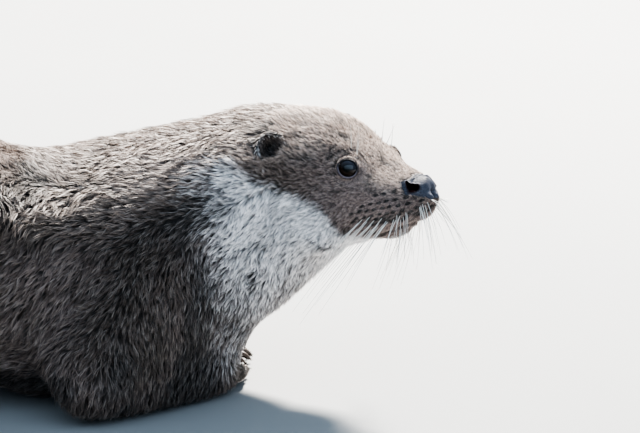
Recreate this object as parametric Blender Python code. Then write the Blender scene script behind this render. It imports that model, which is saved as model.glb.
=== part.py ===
"""A river otter at life size, lying on its chest with the rump raised and the head turned right.

The animal faces +X and its left side is +Y. It is modelled in millimetres, and each node is scaled
to metres as it is finished. Lofts and rounded masses are joined by a voxel remesh into one body,
which thin cuts then part into the lengths that have names.
"""

import math

import bmesh
import bpy
import numpy as np
from mathutils import Matrix, Vector

MM = 0.001

# The gap between neighbours, the wider one round a leg's curved cut, and the sizes of the meshes.
GAP = 0.3
LEG_GAP = 0.45
VOXEL = 2.6
CUTTER_VOXEL = 4.0
RING = 28
SPAN_STEPS = 5
DOME_ANGLES = [math.radians(angle) for angle in (30, 58, 78)]
BOX_SIZE = 3000

# About how many triangles the body keeps before it is cut, and how far the head and paws are spared.
BODY_TRIANGLES = 2850
LEG_CUTTER_TRIANGLES = 130
PAW_CUTTER_TRIANGLES = 90
HEAD_DETAIL = 0.9
PAW_DETAIL = 0.12
DETAIL_STRENGTH = 0.03
BROAD_SMOOTHING = 60
FINE_SMOOTHING = 6
CUTTER_SMOOTHING = 12

# The head's frame: its origin is the tip of the nose, local X runs forward and local Y left.
NOSE_TIP = Vector((74.4, -60.0, 137.6))
HEAD_YAW = math.radians(-32)
HEAD_ROLL = math.radians(-3.5)
HEAD_TURN = Matrix.Rotation(HEAD_YAW, 4, "Z") @ Matrix.Rotation(HEAD_ROLL, 4, "X")
HEAD_FRAME = Matrix.Translation(NOSE_TIP) @ HEAD_TURN
BACK_OF_HEAD = -110

# Stations of the head: x, middle height, half width, reach up, reach down, power of its upper half.
HEAD = (
    (-8, -2, 11, 7, 9, 2.0),
    (-14, -4, 17.5, 13, 14.5, 1.9),
    (-22, -5, 23.5, 17, 20, 1.7),
    (-34, -6, 28, 22.5, 25.5, 1.7),
    (-46, -4, 31, 27, 30.5, 2.1),
    (-58, -2, 35, 32, 36, 2.4),
    (-72, 0, 40, 38.5, 42, 2.3),
    (-88, 0, 45, 42, 47, 2.2),
    (-105, -2, 48, 44, 52, 2.2),
    (-125, -5, 51, 46, 57, 2.2),
    (-145, -10, 53, 49, 62, 2.2),
)

# Stations of the trunk and the tail: x, y, middle height, half width, reach up, reach down.
TRUNK = (
    (-412, -41, 118, 50, 48, 48),
    (-365, -38, 146, 68, 62, 64),
    (-300, -30, 150, 76, 73, 78),
    (-235, -18, 108, 81, 75, 88),
    (-180, -8, 80, 82, 71, 82),
    (-125, -2, 84, 80, 75, 86),
    (-85, -3, 97, 72, 71, 96),
    (-50, -6, 117, 61, 60, 86),
    (-20, -10, 131, 51, 50, 76),
    (4, -18, 138, 42, 38, 58),
)
TAIL = (
    (-395, -40, 128, 52, 50, 50),
    (-450, -46, 84, 38, 34, 34),
    (-510, -50, 46, 30, 27, 27),
    (-580, -46, 27, 25, 23, 25),
    (-660, -26, 19, 19, 17, 20),
    (-740, 8, 12.5, 13, 11.5, 14),
    (-800, 40, 7.5, 7.5, 6.5, 9),
)
TRUNK_POWER = 2.3
BODY_POWER = 2.2
TRUNK_DOME = 0.5
BODY_DOME = 0.8
LIMB_DOME = 0.9

# Masses that round out the body, and the head in its own frame: centre, half sizes.
BODY_MASSES = (
    ((-114, -46, 72), (56, 46, 60)),
    ((-110, 42, 72), (54, 44, 60)),
    ((-76, -4, 59), (40, 54, 51)),
)
HEAD_MASSES = (
    ((-38, 0, -25), (21, 15, 9)),
    ((-9, 0, 0), (9, 12.5, 9)),
    ((-18, 0, -11), (11, 16, 9.5)),
)
# These are built once on each side of the head: the whisker pad, the brow and the cheek.
PAIRED_HEAD_MASSES = (
    ((-25, 13, -9), (15, 12, 12.5)),
    ((-52, 20.5, 13), (12, 8.5, 8)),
    ((-84, 25, -18), (36, 20, 30)),
)

# Stations of the forelegs: x, y, z, radius.
RIGHT_FORELEG = {
    "arm": ((-108, -50, 84, 42), (-126, -76, 50, 36), (-142, -92, 27, 28)),
    "forearm": ((-142, -92, 27, 27), (-104, -62, 21, 23), (-66, -30, 16, 17)),
    "wrist": ((-66, -30, 16, 16.5), (-63, -20, 12, 13), (-62, -11, 9, 10)),
}
LEFT_FORELEG = {
    "arm": ((-104, 45, 84, 40), (-122, 66, 50, 34), (-136, 82, 27, 27)),
    "forearm": ((-136, 82, 27, 26), (-108, 68, 21, 21), (-82, 54, 15, 15.5)),
    "wrist": ((-82, 54, 15, 15.5), (-78, 50, 11, 12.5), (-72, 47, 9, 10)),
}

# The hind legs' joints on the left side, and how far the haunches lie to the right of the head.
HIP = Vector((-354, 35, 124))
KNEE = Vector((-292, 62, 68))
HEEL = Vector((-380, 62, 22))
BALL = Vector((-312, 64, 10))
HAUNCH_SHIFT = -36
HEEL_CUT_LIFT = 6

# Each paw: where its toes fan from, the way it points in degrees, and its toes' length and spread.
PAWS = {
    "forepaw_right": {
        "ball": Vector((-60, -11, 9)),
        "heading": 94,
        "length": 20,
        "spread": 17,
        "root": 9,
    },
    "forepaw_left": {
        "ball": Vector((-73, 47, 9)),
        "heading": -12,
        "length": 20,
        "spread": 20,
        "root": 9,
    },
    "hindfoot_right": {
        "ball": Vector((BALL.x, HAUNCH_SHIFT - BALL.y, BALL.z - 1)),
        "heading": -6,
        "length": 38,
        "spread": 22,
        "root": 14,
    },
    "hindfoot_left": {
        "ball": Vector((BALL.x, HAUNCH_SHIFT + BALL.y, BALL.z - 1)),
        "heading": 6,
        "length": 38,
        "spread": 22,
        "root": 14,
    },
}
TOES = 5
TOE_RADIUS = 5.4
TOE_DROOP = 2.5
OUTER_TOE_SHORTENING = 0.2
CLAW_LENGTH = 11.5
CLAW_RADIUS = 1.9
CLAW_TIP_RADIUS = 0.5
CLAW_START = -0.5
CLAW_LIFT = 1.2
CLAW_DROP = 0.12

# The legs' cutters: how much wider than the leg, how far they lean out, and where they stop inside.
LEG_MARGIN = 4
CUTTER_LEAN = 0.16
ARM_INSIDE = 22
THIGH_INSIDE = 30
PAW_BOX = (33, 33, 18)
PAW_BOX_SHIFT = Vector((0, 0, -6))
HIND_PAW_BOX = (50, 34, 20)
HIND_PAW_BOX_SHIFT = Vector((14, 0, 0))

# Small parts of the head, in its frame.
NOSE = Vector((-4, 0, 0.5))
NOSE_SIZES = (9.5, 13, 9.5)
NOSTRIL = Vector((-1.5, 9.5, 1.5))
NOSTRIL_SIZES = (4, 3.2, 2.4)
# The mouth's line and the back of the jaw as x and z, and the mass that bounds the jaw.
JAW_LINE = ((-14, -17.5), (-24, -22), (-50, -25.5), (-60, -32), (-68, -100), (-14, -100))
JAW_SLAB_HALF_WIDTH = 40
JAW = Vector((-38, 0, -22))
JAW_SIZES = (32, 27, 27)
EYE = Vector((-51.8, 26, 11.8))
EYE_RADIUS = 6.0
EYE_SOCKET = 6.35
EAR = Vector((-97, 43.5, 21.5))
EAR_SIZES = (8.5, 10, 10.5)
EAR_HOLLOW = (8.5, 7.4, 7.8)
EAR_DEPTH = 6.5
EAR_TURN = math.radians(48)
EAR_LEAN = math.radians(-12)

# The planes that part the spine's lengths: a point, and the way that the cut-off length lies.
NECK_CUT = ((-46, 0, 35), (0.888, 0, 0.46))
LOINS_CUT = ((-205, 0, 0), (-1, 0, 0))
TAIL_CUTS = (
    ("tail_base", (-418, -40, 120), (-0.92, 0, -0.39)),
    ("tail_middle", (-545, 0, 0), (-1, 0, 0)),
    ("tail_tip", (-680, 0, 0), (-1, 0, 0)),
)

MATERIALS = {
    "dark_coat": ((0.085, 0.058, 0.042), 0.75),
    "pale_coat": ((0.42, 0.37, 0.32), 0.75),
    "leather": ((0.035, 0.033, 0.038), 0.35),
    "dark_glass": ((0.012, 0.008, 0.006), 0.06),
}
FINISHES = {
    "nose": "leather",
    "eye_left": "dark_glass",
    "eye_right": "dark_glass",
    "lower_jaw": "pale_coat",
}
SIDES = ((-1, "right"), (1, "left"))


def unit(rows):
    return rows / np.maximum(np.linalg.norm(rows, axis=-1, keepdims=True), 1e-9)


def fade(distance, inner, outer):
    """1 within the inner distance, 0 beyond the outer one, and a smooth step between."""
    t = np.clip((outer - distance) / (outer - inner), 0, 1)
    return t * t * (3 - 2 * t)


def spline(rows):
    """Catmull-Rom points through the rows."""
    rows = np.array(rows, float)
    padded = np.vstack([2 * rows[0] - rows[1], rows, 2 * rows[-1] - rows[-2]])
    found = []
    for first in range(len(rows) - 1):
        a, b, c, d = padded[first : first + 4]
        for t in np.arange(SPAN_STEPS) / SPAN_STEPS:
            square = 2 * a - 5 * b + 4 * c - d
            cubic = -a + 3 * b - 3 * c + d
            found.append(b + 0.5 * ((c - a) * t + square * t**2 + cubic * t**3))
    return np.array(found + [rows[-1]])


def ring_points(ring, power):
    """Points round one ring of a loft: a superellipse with a power of its own for its upper half."""
    middle, side, up, (half, reach_up, reach_down), upper_power = ring
    turns = np.linspace(0, 2 * math.pi, RING, endpoint=False)
    cosine, sine = np.cos(turns), np.sin(turns)
    exponent = 2 / np.where(sine > 0, upper_power, power)
    across = half * np.sign(cosine) * np.abs(cosine) ** exponent
    height = np.where(sine > 0, reach_up, reach_down) * np.sign(sine) * np.abs(sine) ** exponent
    return middle + np.outer(across, side) + np.outer(height, up)


def loft(form, stations, upright=True, power=BODY_POWER, dome=BODY_DOME):
    """Adds a closed tube through stations of x, y, z, half width, reach up and reach down.

    A station may end in the power of its upper half. The ends are rounded off by domes.
    """
    rows = spline(stations)
    middles, sizes = rows[:, :3], rows[:, 3:6]
    powers = rows[:, 6] if rows.shape[1] > 6 else np.full(len(rows), power)
    along = unit(np.gradient(middles, axis=0))
    side = unit(np.cross((0, 0, 1), along))
    up = np.tile((0.0, 0.0, 1.0), (len(rows), 1)) if upright else np.cross(along, side)
    rings = list(zip(middles, side, up, sizes, powers))
    for end, sign in ((0, -1), (-1, 1)):
        reach = sizes[end].mean() * dome
        for angle in DOME_ANGLES:
            middle = middles[end] + sign * along[end] * reach * math.sin(angle)
            ring = (middle, side[end], up[end], sizes[end] * math.cos(angle), powers[end])
            rings.insert(0 if sign < 0 else len(rings), ring)
    loops = [[form.verts.new(point) for point in ring_points(ring, power)] for ring in rings]
    faces = [form.faces.new(loops[0]), form.faces.new(loops[-1])]
    for one, two in zip(loops, loops[1:]):
        for k in range(RING):
            n = (k + 1) % RING
            faces.append(form.faces.new((one[k], one[n], two[n], two[k])))
    bmesh.ops.recalc_face_normals(form, faces=faces)


def limb(form, stations):
    """Adds a closed tube of round section through stations of x, y, z and radius."""
    loft(form, [(x, y, z, r, r, r) for x, y, z, r in stations], upright=False, power=2, dome=LIMB_DOME)


def ellipsoid(form, centre, half_sizes, turn=Matrix.Identity(4), frame=Matrix.Identity(4), rows=14):
    place = frame @ Matrix.Translation(centre) @ turn @ Matrix.Diagonal((*half_sizes, 1))
    bmesh.ops.create_uvsphere(form, u_segments=2 * rows, v_segments=rows, radius=1, matrix=place)


def toe_lines(ball, heading, length, spread, root):
    """The start and end of each toe, fanned about the heading, the middle ones longest."""
    side = Matrix.Rotation(math.radians(heading), 3, "Z") @ Vector((0, 1, 0))
    for k in range(TOES):
        turn = 2 * k / (TOES - 1) - 1
        way = Matrix.Rotation(math.radians(heading + spread * turn), 3, "Z") @ Vector((1, 0, 0))
        start = ball + side * root * turn
        reach = length * (1 - OUTER_TOE_SHORTENING * turn**2)
        yield start, start + way * reach - Vector((0, 0, TOE_DROOP))


def hind_leg(sign):
    """Stations of the thigh, the shank and the foot on one side."""

    def at(point, radius, lift=0):
        return (point.x, sign * point.y + HAUNCH_SHIFT, point.z + lift, radius)

    thigh = [at(HIP, 54), at(HIP.lerp(KNEE, 0.5), 49), at(KNEE, 33)]
    shank = [at(KNEE, 31), at(KNEE.lerp(HEEL, 0.5), 24), at(HEEL, 15)]
    foot = [at(HEEL, 14.5, -4), at(HEEL.lerp(BALL, 0.5), 13, -2), at(BALL, 11)]
    return thigh, shank, foot


def add_head(form):
    head = bmesh.new()
    loft(head, [(x, 0, *rest) for x, *rest in HEAD])
    for centre, sizes in HEAD_MASSES:
        ellipsoid(head, Vector(centre), sizes)
    for (x, y, z), sizes in PAIRED_HEAD_MASSES:
        for sign, _ in SIDES:
            ellipsoid(head, Vector((x, sign * y, z)), sizes)
    head.transform(HEAD_FRAME)
    mesh = bpy.data.meshes.new("head_form")
    head.to_mesh(mesh)
    head.free()
    form.from_mesh(mesh)
    bpy.data.meshes.remove(mesh)


def make_form():
    """All lofts and masses of the body in one mesh, each closed and overlapping its neighbours."""
    form = bmesh.new()
    loft(form, TRUNK, power=TRUNK_POWER, dome=TRUNK_DOME)
    loft(form, TAIL)
    add_head(form)
    for centre, sizes in BODY_MASSES:
        ellipsoid(form, Vector(centre), sizes)
    for leg in (RIGHT_FORELEG, LEFT_FORELEG):
        for stations in leg.values():
            limb(form, stations)
    for sign, _ in SIDES:
        for stations in hind_leg(sign):
            limb(form, stations)
    for paw in PAWS.values():
        for start, end in toe_lines(**paw):
            middle = start.lerp(end, 0.55)
            limb(form, [(*start, TOE_RADIUS + 1), (*middle, TOE_RADIUS), (*end, TOE_RADIUS - 0.4)])
    return form


def object_of(name, form):
    mesh = bpy.data.meshes.new(name)
    form.to_mesh(mesh)
    form.free()
    obj = bpy.data.objects.new(name, mesh)
    bpy.context.scene.collection.objects.link(obj)
    return obj


def copy_of(obj, name):
    twin = bpy.data.objects.new(name, obj.data.copy())
    bpy.context.scene.collection.objects.link(twin)
    return twin


def drop(obj):
    mesh = obj.data
    bpy.data.objects.remove(obj)
    bpy.data.meshes.remove(mesh)


def baked(obj):
    """Replaces the object's mesh by what its modifiers make of it."""
    bpy.context.view_layer.update()
    graph = bpy.context.evaluated_depsgraph_get()
    mesh = bpy.data.meshes.new_from_object(obj.evaluated_get(graph))
    old = obj.data
    obj.modifiers.clear()
    obj.data = mesh
    bpy.data.meshes.remove(old)
    return obj


def voxel_join(obj, voxel):
    modifier = obj.modifiers.new("Join", "REMESH")
    modifier.mode = "VOXEL"
    modifier.voxel_size = voxel
    return baked(obj)


def smooth(obj, iterations, group=""):
    modifier = obj.modifiers.new("Soften", "SMOOTH")
    modifier.factor = 0.5
    modifier.iterations = iterations
    modifier.vertex_group = group
    return baked(obj)


def thin(obj, count, group="", strength=0.0):
    """Decimates to about the given number of triangles, the group's low weights spared."""
    triangles = sum(len(face.vertices) - 2 for face in obj.data.polygons)
    modifier = obj.modifiers.new("Thin", "DECIMATE")
    modifier.ratio = min(1, count / triangles)
    if group:
        modifier.vertex_group = group
        modifier.vertex_group_factor = strength
    return baked(obj)


def weigh(obj, name, weights):
    group = obj.vertex_groups.new(name=name)
    for index, weight in enumerate(weights):
        group.add([index], float(weight), "REPLACE")


def points_of(obj):
    points = np.empty(len(obj.data.vertices) * 3, np.float32)
    obj.data.vertices.foreach_get("co", points)
    return points.reshape(-1, 3).astype(float)


def boolean(obj, cutter, operation):
    modifier = obj.modifiers.new("Cut", "BOOLEAN")
    modifier.operation = operation
    modifier.solver = "EXACT"
    modifier.object = cutter
    return baked(obj)


def carve(obj, cutter):
    """Cuts the cutter out of the object and drops it."""
    boolean(obj, cutter, "DIFFERENCE")
    drop(cutter)


def grown(obj, distance):
    """A copy of a cutter with its surface moved out by the distance."""
    twin = copy_of(obj, obj.name + "_grown")
    modifier = twin.modifiers.new("Grow", "DISPLACE")
    modifier.strength = distance
    modifier.mid_level = 0
    return baked(twin)


def keep_largest(obj):
    """Drops the small chips that a curved cut leaves beside the main body."""
    form = bmesh.new()
    form.from_mesh(obj.data)
    left = set(form.verts)
    shells = []
    while left:
        edge = [left.pop()]
        shell = set(edge)
        while edge:
            vert = edge.pop()
            found = {link.other_vert(vert) for link in vert.link_edges} & left
            left -= found
            shell |= found
            edge.extend(found)
        shells.append(shell)
    shells.sort(key=len)
    for shell in shells[:-1]:
        bmesh.ops.delete(form, geom=list(shell), context="VERTS")
    form.to_mesh(obj.data)
    form.free()
    return obj


def take(whole, cutter, name, gap=GAP):
    """Cuts the cutter's share out of the whole as a new object, leaving a gap between the two."""
    piece = boolean(copy_of(whole, name), cutter, "INTERSECT")
    carve(whole, grown(cutter, gap))
    drop(cutter)
    keep_largest(whole)
    return keep_largest(piece)


def half_space(point, normal):
    """A large box whose one face lies at the point, on the side that the normal points to."""
    form = bmesh.new()
    turn = Vector(normal).to_track_quat("X", "Z").to_matrix().to_4x4()
    place = Matrix.Translation(point) @ turn @ Matrix.Translation((BOX_SIZE / 2, 0, 0))
    bmesh.ops.create_cube(form, size=BOX_SIZE, matrix=place)
    return object_of("half_space", form)


def split(obj, point, normal, name):
    """Takes what lies past the plane as an object of the given name."""
    return take(obj, half_space(point, normal), name)


def mitre(first, joint, last):
    """The normal of the plane that halves the bend at a joint."""
    return (Vector(joint) - Vector(first)).normalized() + (Vector(last) - Vector(joint)).normalized()


def leg_cutter(legs, sign, count, box=None):
    """One closed cutter round the stations of a leg: wider, and set further out the higher it is."""
    form = bmesh.new()
    for stations in legs:
        limb(form, [(x, y + sign * CUTTER_LEAN * z, z, r + LEG_MARGIN) for x, y, z, r in stations])
    if box:
        ellipsoid(form, *box)
    cutter = voxel_join(object_of("leg_cutter", form), CUTTER_VOXEL)
    return thin(smooth(cutter, CUTTER_SMOOTHING), count)


def foreleg(whole, side, sign, leg):
    arm, forearm, wrist = leg["arm"], leg["forearm"], leg["wrist"]
    box = (PAWS["forepaw_" + side]["ball"] + PAW_BOX_SHIFT, PAW_BOX)
    cutter = leg_cutter([wrist], sign, PAW_CUTTER_TRIANGLES, box)
    near, far = Vector(wrist[0][:3]), Vector(wrist[1][:3])
    carve(cutter, half_space(near.lerp(far, 0.5), near - far))
    paw = take(whole, cutter, "forepaw_" + side, LEG_GAP)
    cutter = leg_cutter([arm, forearm], sign, LEG_CUTTER_TRIANGLES)
    carve(cutter, half_space((0, sign * ARM_INSIDE, 0), (0, -sign, 0)))
    upper = take(whole, cutter, "upper_arm_" + side, LEG_GAP)
    shoulder, elbow, hand = arm[0][:3], arm[-1][:3], forearm[-1][:3]
    lower = split(upper, elbow, mitre(shoulder, elbow, hand), "forearm_" + side)
    add_claws(paw)
    return [upper, lower, paw]


def hindleg(whole, side, sign):
    legs = hind_leg(sign)
    thigh, shank, foot = legs
    box = (PAWS["hindfoot_" + side]["ball"] + HIND_PAW_BOX_SHIFT, HIND_PAW_BOX)
    cutter = leg_cutter(legs, sign, LEG_CUTTER_TRIANGLES, box)
    carve(cutter, half_space((0, HAUNCH_SHIFT + sign * THIGH_INSIDE, 0), (0, -sign, 0)))
    upper = take(whole, cutter, "thigh_" + side, LEG_GAP)
    hip, knee, heel, ball = thigh[0][:3], thigh[-1][:3], shank[-1][:3], foot[-1][:3]
    lower = split(upper, knee, mitre(hip, knee, heel), "shank_" + side)
    above_heel = Vector(heel) + Vector((0, 0, HEEL_CUT_LIFT))
    paw = split(lower, above_heel, mitre(knee, heel, ball), "hindfoot_" + side)
    add_claws(paw)
    return [upper, lower, paw]


def add_claws(paw):
    """Joins a short claw to the end of each toe."""
    form = bmesh.new()
    for start, end in toe_lines(**PAWS[paw.name]):
        way = ((end - start).normalized() - Vector((0, 0, CLAW_DROP))).normalized()
        base = end + way * CLAW_START + Vector((0, 0, CLAW_LIFT))
        turn = way.to_track_quat("Z", "Y").to_matrix().to_4x4()
        place = Matrix.Translation(base + way * CLAW_LENGTH / 2) @ turn
        cone = {"radius1": CLAW_RADIUS, "radius2": CLAW_TIP_RADIUS, "depth": CLAW_LENGTH}
        bmesh.ops.create_cone(form, cap_ends=True, segments=5, matrix=place, **cone)
    claws = object_of("claws", form)
    boolean(paw, claws, "UNION")
    drop(claws)


def ball_object(name, centre, sizes, turn=Matrix.Identity(4), rows=7):
    """An ellipsoid in the head's frame."""
    form = bmesh.new()
    ellipsoid(form, centre, sizes, turn, HEAD_FRAME, rows)
    return object_of(name, form)


def jaw_cutter():
    """What a slab with the jaw's outline in the head's X and Z shares with a rounded mass."""
    form = bmesh.new()
    face = form.faces.new([form.verts.new((x, -JAW_SLAB_HALF_WIDTH, z)) for x, z in JAW_LINE])
    moved = bmesh.ops.extrude_face_region(form, geom=[face])["geom"]
    verts = [item for item in moved if isinstance(item, bmesh.types.BMVert)]
    bmesh.ops.translate(form, vec=(0, 2 * JAW_SLAB_HALF_WIDTH, 0), verts=verts)
    bmesh.ops.recalc_face_normals(form, faces=form.faces[:])
    form.transform(HEAD_FRAME)
    cutter = object_of("jaw_cutter", form)
    bounds = ball_object("jaw_bounds", JAW, JAW_SIZES)
    boolean(cutter, bounds, "INTERSECT")
    drop(bounds)
    return cutter


def make_nose(head):
    nose = take(head, ball_object("nose_cutter", NOSE, NOSE_SIZES), "nose")
    for sign, _ in SIDES:
        centre = Vector((NOSTRIL.x, sign * NOSTRIL.y, NOSTRIL.z))
        carve(nose, ball_object("nostril", centre, NOSTRIL_SIZES, rows=4))
    return nose


def make_eye(head, side, sign):
    centre = Vector((EYE.x, sign * EYE.y, EYE.z))
    carve(head, ball_object("socket", centre, (EYE_SOCKET,) * 3))
    return ball_object("eye_" + side, centre, (EYE_RADIUS,) * 3, rows=6)


def make_ear(head, side, sign):
    """A cupped ear that opens forward and outward, set in a recess of the head."""
    centre = Vector((EAR.x, sign * EAR.y, EAR.z))
    turn = Matrix.Rotation(sign * EAR_TURN, 4, "Z") @ Matrix.Rotation(EAR_LEAN, 4, "Y")
    shell = ball_object("ear_" + side, centre, EAR_SIZES, turn, rows=5)
    carve(head, grown(shell, GAP))
    opening = centre + turn.to_3x3() @ Vector((EAR_DEPTH, 0, 0))
    carve(shell, ball_object("hollow", opening, EAR_HOLLOW, turn, rows=5))
    return shell


def on_head(points):
    """1 on the head, fading to 0 down the neck."""
    inverse = np.array(HEAD_FRAME.inverted())
    local_x = points @ inverse[0, :3] + inverse[0, 3]
    return fade(-local_x, 88, 120) * fade(-points[:, 2], -90, -70)


def on_paws(points):
    distances = [np.linalg.norm(points - np.array(paw["ball"]), axis=1) for paw in PAWS.values()]
    return fade(np.min(distances, axis=0), 40, 60)


def on_tail_tip(points):
    return fade(points[:, 0], -640, -520)


def make_body():
    """The whole animal but for its ears and eyes, as one closed mesh with flats at floor level."""
    whole = voxel_join(object_of("chest", make_form()), VOXEL)
    points = points_of(whole)
    fine = np.maximum(on_head(points), on_paws(points))
    weigh(whole, "broad", 1 - np.maximum(fine, on_tail_tip(points)))
    weigh(whole, "plain", 1 - np.maximum(HEAD_DETAIL * on_head(points), PAW_DETAIL * on_paws(points)))
    smooth(whole, BROAD_SMOOTHING, "broad")
    smooth(whole, FINE_SMOOTHING)
    thin(whole, BODY_TRIANGLES, "plain", DETAIL_STRENGTH)
    whole.vertex_groups.clear()
    carve(whole, half_space((0, 0, 0), (0, 0, -1)))
    return whole


def make_head(whole):
    back, way = HEAD_FRAME @ Vector((BACK_OF_HEAD, 0, 0)), HEAD_FRAME.to_3x3() @ Vector((1, 0, 0))
    head = split(whole, back, way, "head")
    nodes = [head, take(head, jaw_cutter(), "lower_jaw"), make_nose(head)]
    for sign, side in SIDES:
        nodes += [make_eye(head, side, sign), make_ear(head, side, sign)]
    return nodes


def make_spine(whole):
    """Parts the neck, the loins and the tail's lengths from the chest."""
    nodes = [split(whole, *NECK_CUT, "neck"), split(whole, *LOINS_CUT, "loins")]
    for name, point, normal in TAIL_CUTS:
        nodes.append(split(nodes[-1], point, normal, name))
    return nodes


def finish(nodes):
    """Gives each node its material, sets the model over the origin and scales it to metres."""
    corners = np.concatenate([points_of(node) for node in nodes])
    middle = (corners.min(axis=0) + corners.max(axis=0)) / 2
    place = Matrix.Scale(MM, 4) @ Matrix.Translation((-middle[0], -middle[1], 0))
    for node in nodes:
        colour, roughness = MATERIALS[FINISHES.get(node.name, "dark_coat")]
        material = bpy.data.materials.new(node.name)
        material.use_nodes = True
        shader = material.node_tree.nodes["Principled BSDF"]
        shader.inputs["Base Color"].default_value = (*colour, 1)
        shader.inputs["Roughness"].default_value = roughness
        node.data.materials.clear()
        node.data.materials.append(material)
        node.data.transform(place)
        node.data.shade_smooth()


def main():
    for obj in list(bpy.data.objects):
        bpy.data.objects.remove(obj)
    whole = make_body()
    nodes = [whole]
    nodes += foreleg(whole, "right", -1, RIGHT_FORELEG)
    nodes += foreleg(whole, "left", 1, LEFT_FORELEG)
    for sign, side in SIDES:
        nodes += hindleg(whole, side, sign)
    nodes += make_head(whole)
    nodes += make_spine(whole)
    finish(nodes)


main()
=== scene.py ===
"""The otter dressed: one skin over the flesh, with eyes, nose, claws, whiskers and a coat of tufts.

The shapes are worked out in millimetres in the model's frame, where the animal faces +X and its
left side is +Y. Meshes are made in metres. The head has a frame of its own, found from its eyes.
"""

import math

import bmesh
import bpy
import numpy as np
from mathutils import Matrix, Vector
from mathutils.bvhtree import BVHTree

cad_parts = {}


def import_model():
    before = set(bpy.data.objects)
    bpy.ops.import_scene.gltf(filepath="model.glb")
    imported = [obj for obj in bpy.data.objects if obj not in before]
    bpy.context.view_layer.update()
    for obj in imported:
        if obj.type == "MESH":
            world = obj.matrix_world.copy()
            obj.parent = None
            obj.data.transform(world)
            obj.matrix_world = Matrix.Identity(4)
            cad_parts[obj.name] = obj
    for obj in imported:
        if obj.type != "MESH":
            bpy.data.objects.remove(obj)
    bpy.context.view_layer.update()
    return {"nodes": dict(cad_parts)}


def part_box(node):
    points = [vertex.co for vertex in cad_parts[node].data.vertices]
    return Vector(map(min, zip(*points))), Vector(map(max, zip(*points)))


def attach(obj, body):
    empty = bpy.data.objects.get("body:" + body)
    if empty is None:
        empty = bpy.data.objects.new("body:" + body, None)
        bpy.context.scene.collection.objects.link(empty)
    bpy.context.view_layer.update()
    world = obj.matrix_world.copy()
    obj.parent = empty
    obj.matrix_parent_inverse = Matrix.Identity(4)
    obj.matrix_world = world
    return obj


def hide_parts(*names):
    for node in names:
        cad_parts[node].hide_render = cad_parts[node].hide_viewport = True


MM = 0.001
SIDES = ((-1, "right"), (1, "left"))

# The camera: a long lens level with the animal's head, a little above it.
CAMERA_TARGET = (365.1, 13.65, 107.7)
CAMERA_DISTANCE = 4000
CAMERA_ELEVATION = 14
VIEW_WIDTH = 396.8
SENSOR_WIDTH = 36

# The head's frame starts at the tip of the nose, this far ahead of the eyes and below them.
EYES_TO_NOSE = 51.8
EYES_ABOVE_NOSE = 11.8
EYE_RADIUS = 6.5
EYE_SETBACK = 0.9

# The skin's base mesh: its cell, how far the solids swell to close their gaps, and its triangles.
CELL = 1.6
SWELL = 0.35
SKIN_TRIANGLES = 110000
SKIN_CLEARANCE = 0.4
SKIN_SHADE = 0.35

# Each part's coat: how deep it is over the skin, how long its tufts are, the room that each has,
# how much painted sunlight lightens it where it faces up, and the way it lies. A row without a side
# holds for both sides. The lie on the head and the ears is worked out.
DEPTH, LENGTH, SPACING, SUNLIT_TOP, LIE = range(5)
COATS = {
    "head": (2.6, 6, 1.3, 1, None),
    "lower_jaw": (1.8, 4, 1.2, 0, None),
    "nose": (1.2, 2, 1.2, 1, None),
    "eye": (1.0, 3, 1.1, 0, None),
    "ear": (0.9, 3, 1.1, 0, None),
    "neck": (4.2, 10, 1.65, 0.5, (-1, 0, -0.35)),
    "chest": (4.8, 11, 1.75, 0.4, (-1, 0, -0.6)),
    "loins": (5.8, 14, 2.35, 0.4, (-1, 0, -0.3)),
    "tail_base": (5.2, 13, 2.4, 0.4, (-0.8, -0.1, -0.6)),
    "tail_middle": (4.2, 11, 2.3, 0.4, (-1, 0.15, -0.1)),
    "tail_tip": (2.2, 8, 2.0, 0.4, (-0.92, 0.38, 0)),
    "upper_arm": (4.4, 10, 1.75, 0, (-0.45, 0, -1)),
    "forearm": (3.8, 9, 1.8, 0, (-0.4, 0, -1)),
    "forepaw_right": (1.2, 3.6, 1.9, 0, (-0.07, 1, 0)),
    "forepaw_left": (1.2, 3.6, 1.9, 0, (0.98, -0.2, 0)),
    "thigh": (5.0, 12, 2.25, 0, (-0.6, 0, -0.8)),
    "shank": (3.4, 9, 2.2, 0, (-0.6, 0, -0.8)),
    "hindfoot_right": (1.2, 4, 2.0, 0, (1, -0.1, 0)),
    "hindfoot_left": (1.2, 4, 2.0, 0, (1, 0.1, 0)),
}

# The lie on the head, which falls towards the cheeks and the lips, and the turns in every lie.
HEAD_PARTS = ("head", "lower_jaw", "nose", "eye_right", "eye_left")
LOW_FACE_Z = (6, -14)
LOW_FACE_FALL = 0.35
CHEEK_FALL = 0.45
CHEEK_X = (-34, -62)
MUZZLE_SPREAD = 0.25
MUZZLE_X = (-30, 0)
LIP_FALL = 0.5
LIP_X = (-30, -4)
FRONT_LIE = (-0.25, 0, -1)
FRONT_FACING = (0.15, 0.7)
LIE_SEED = 5
LIE_DRIFT = 0.16
LIE_WAVE = 0.2
LIE_ROUNDS = 22
DRIFT_ROUNDS = 18
WAVE_ROUNDS = 4
FACE_CALM = 0.5

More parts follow.
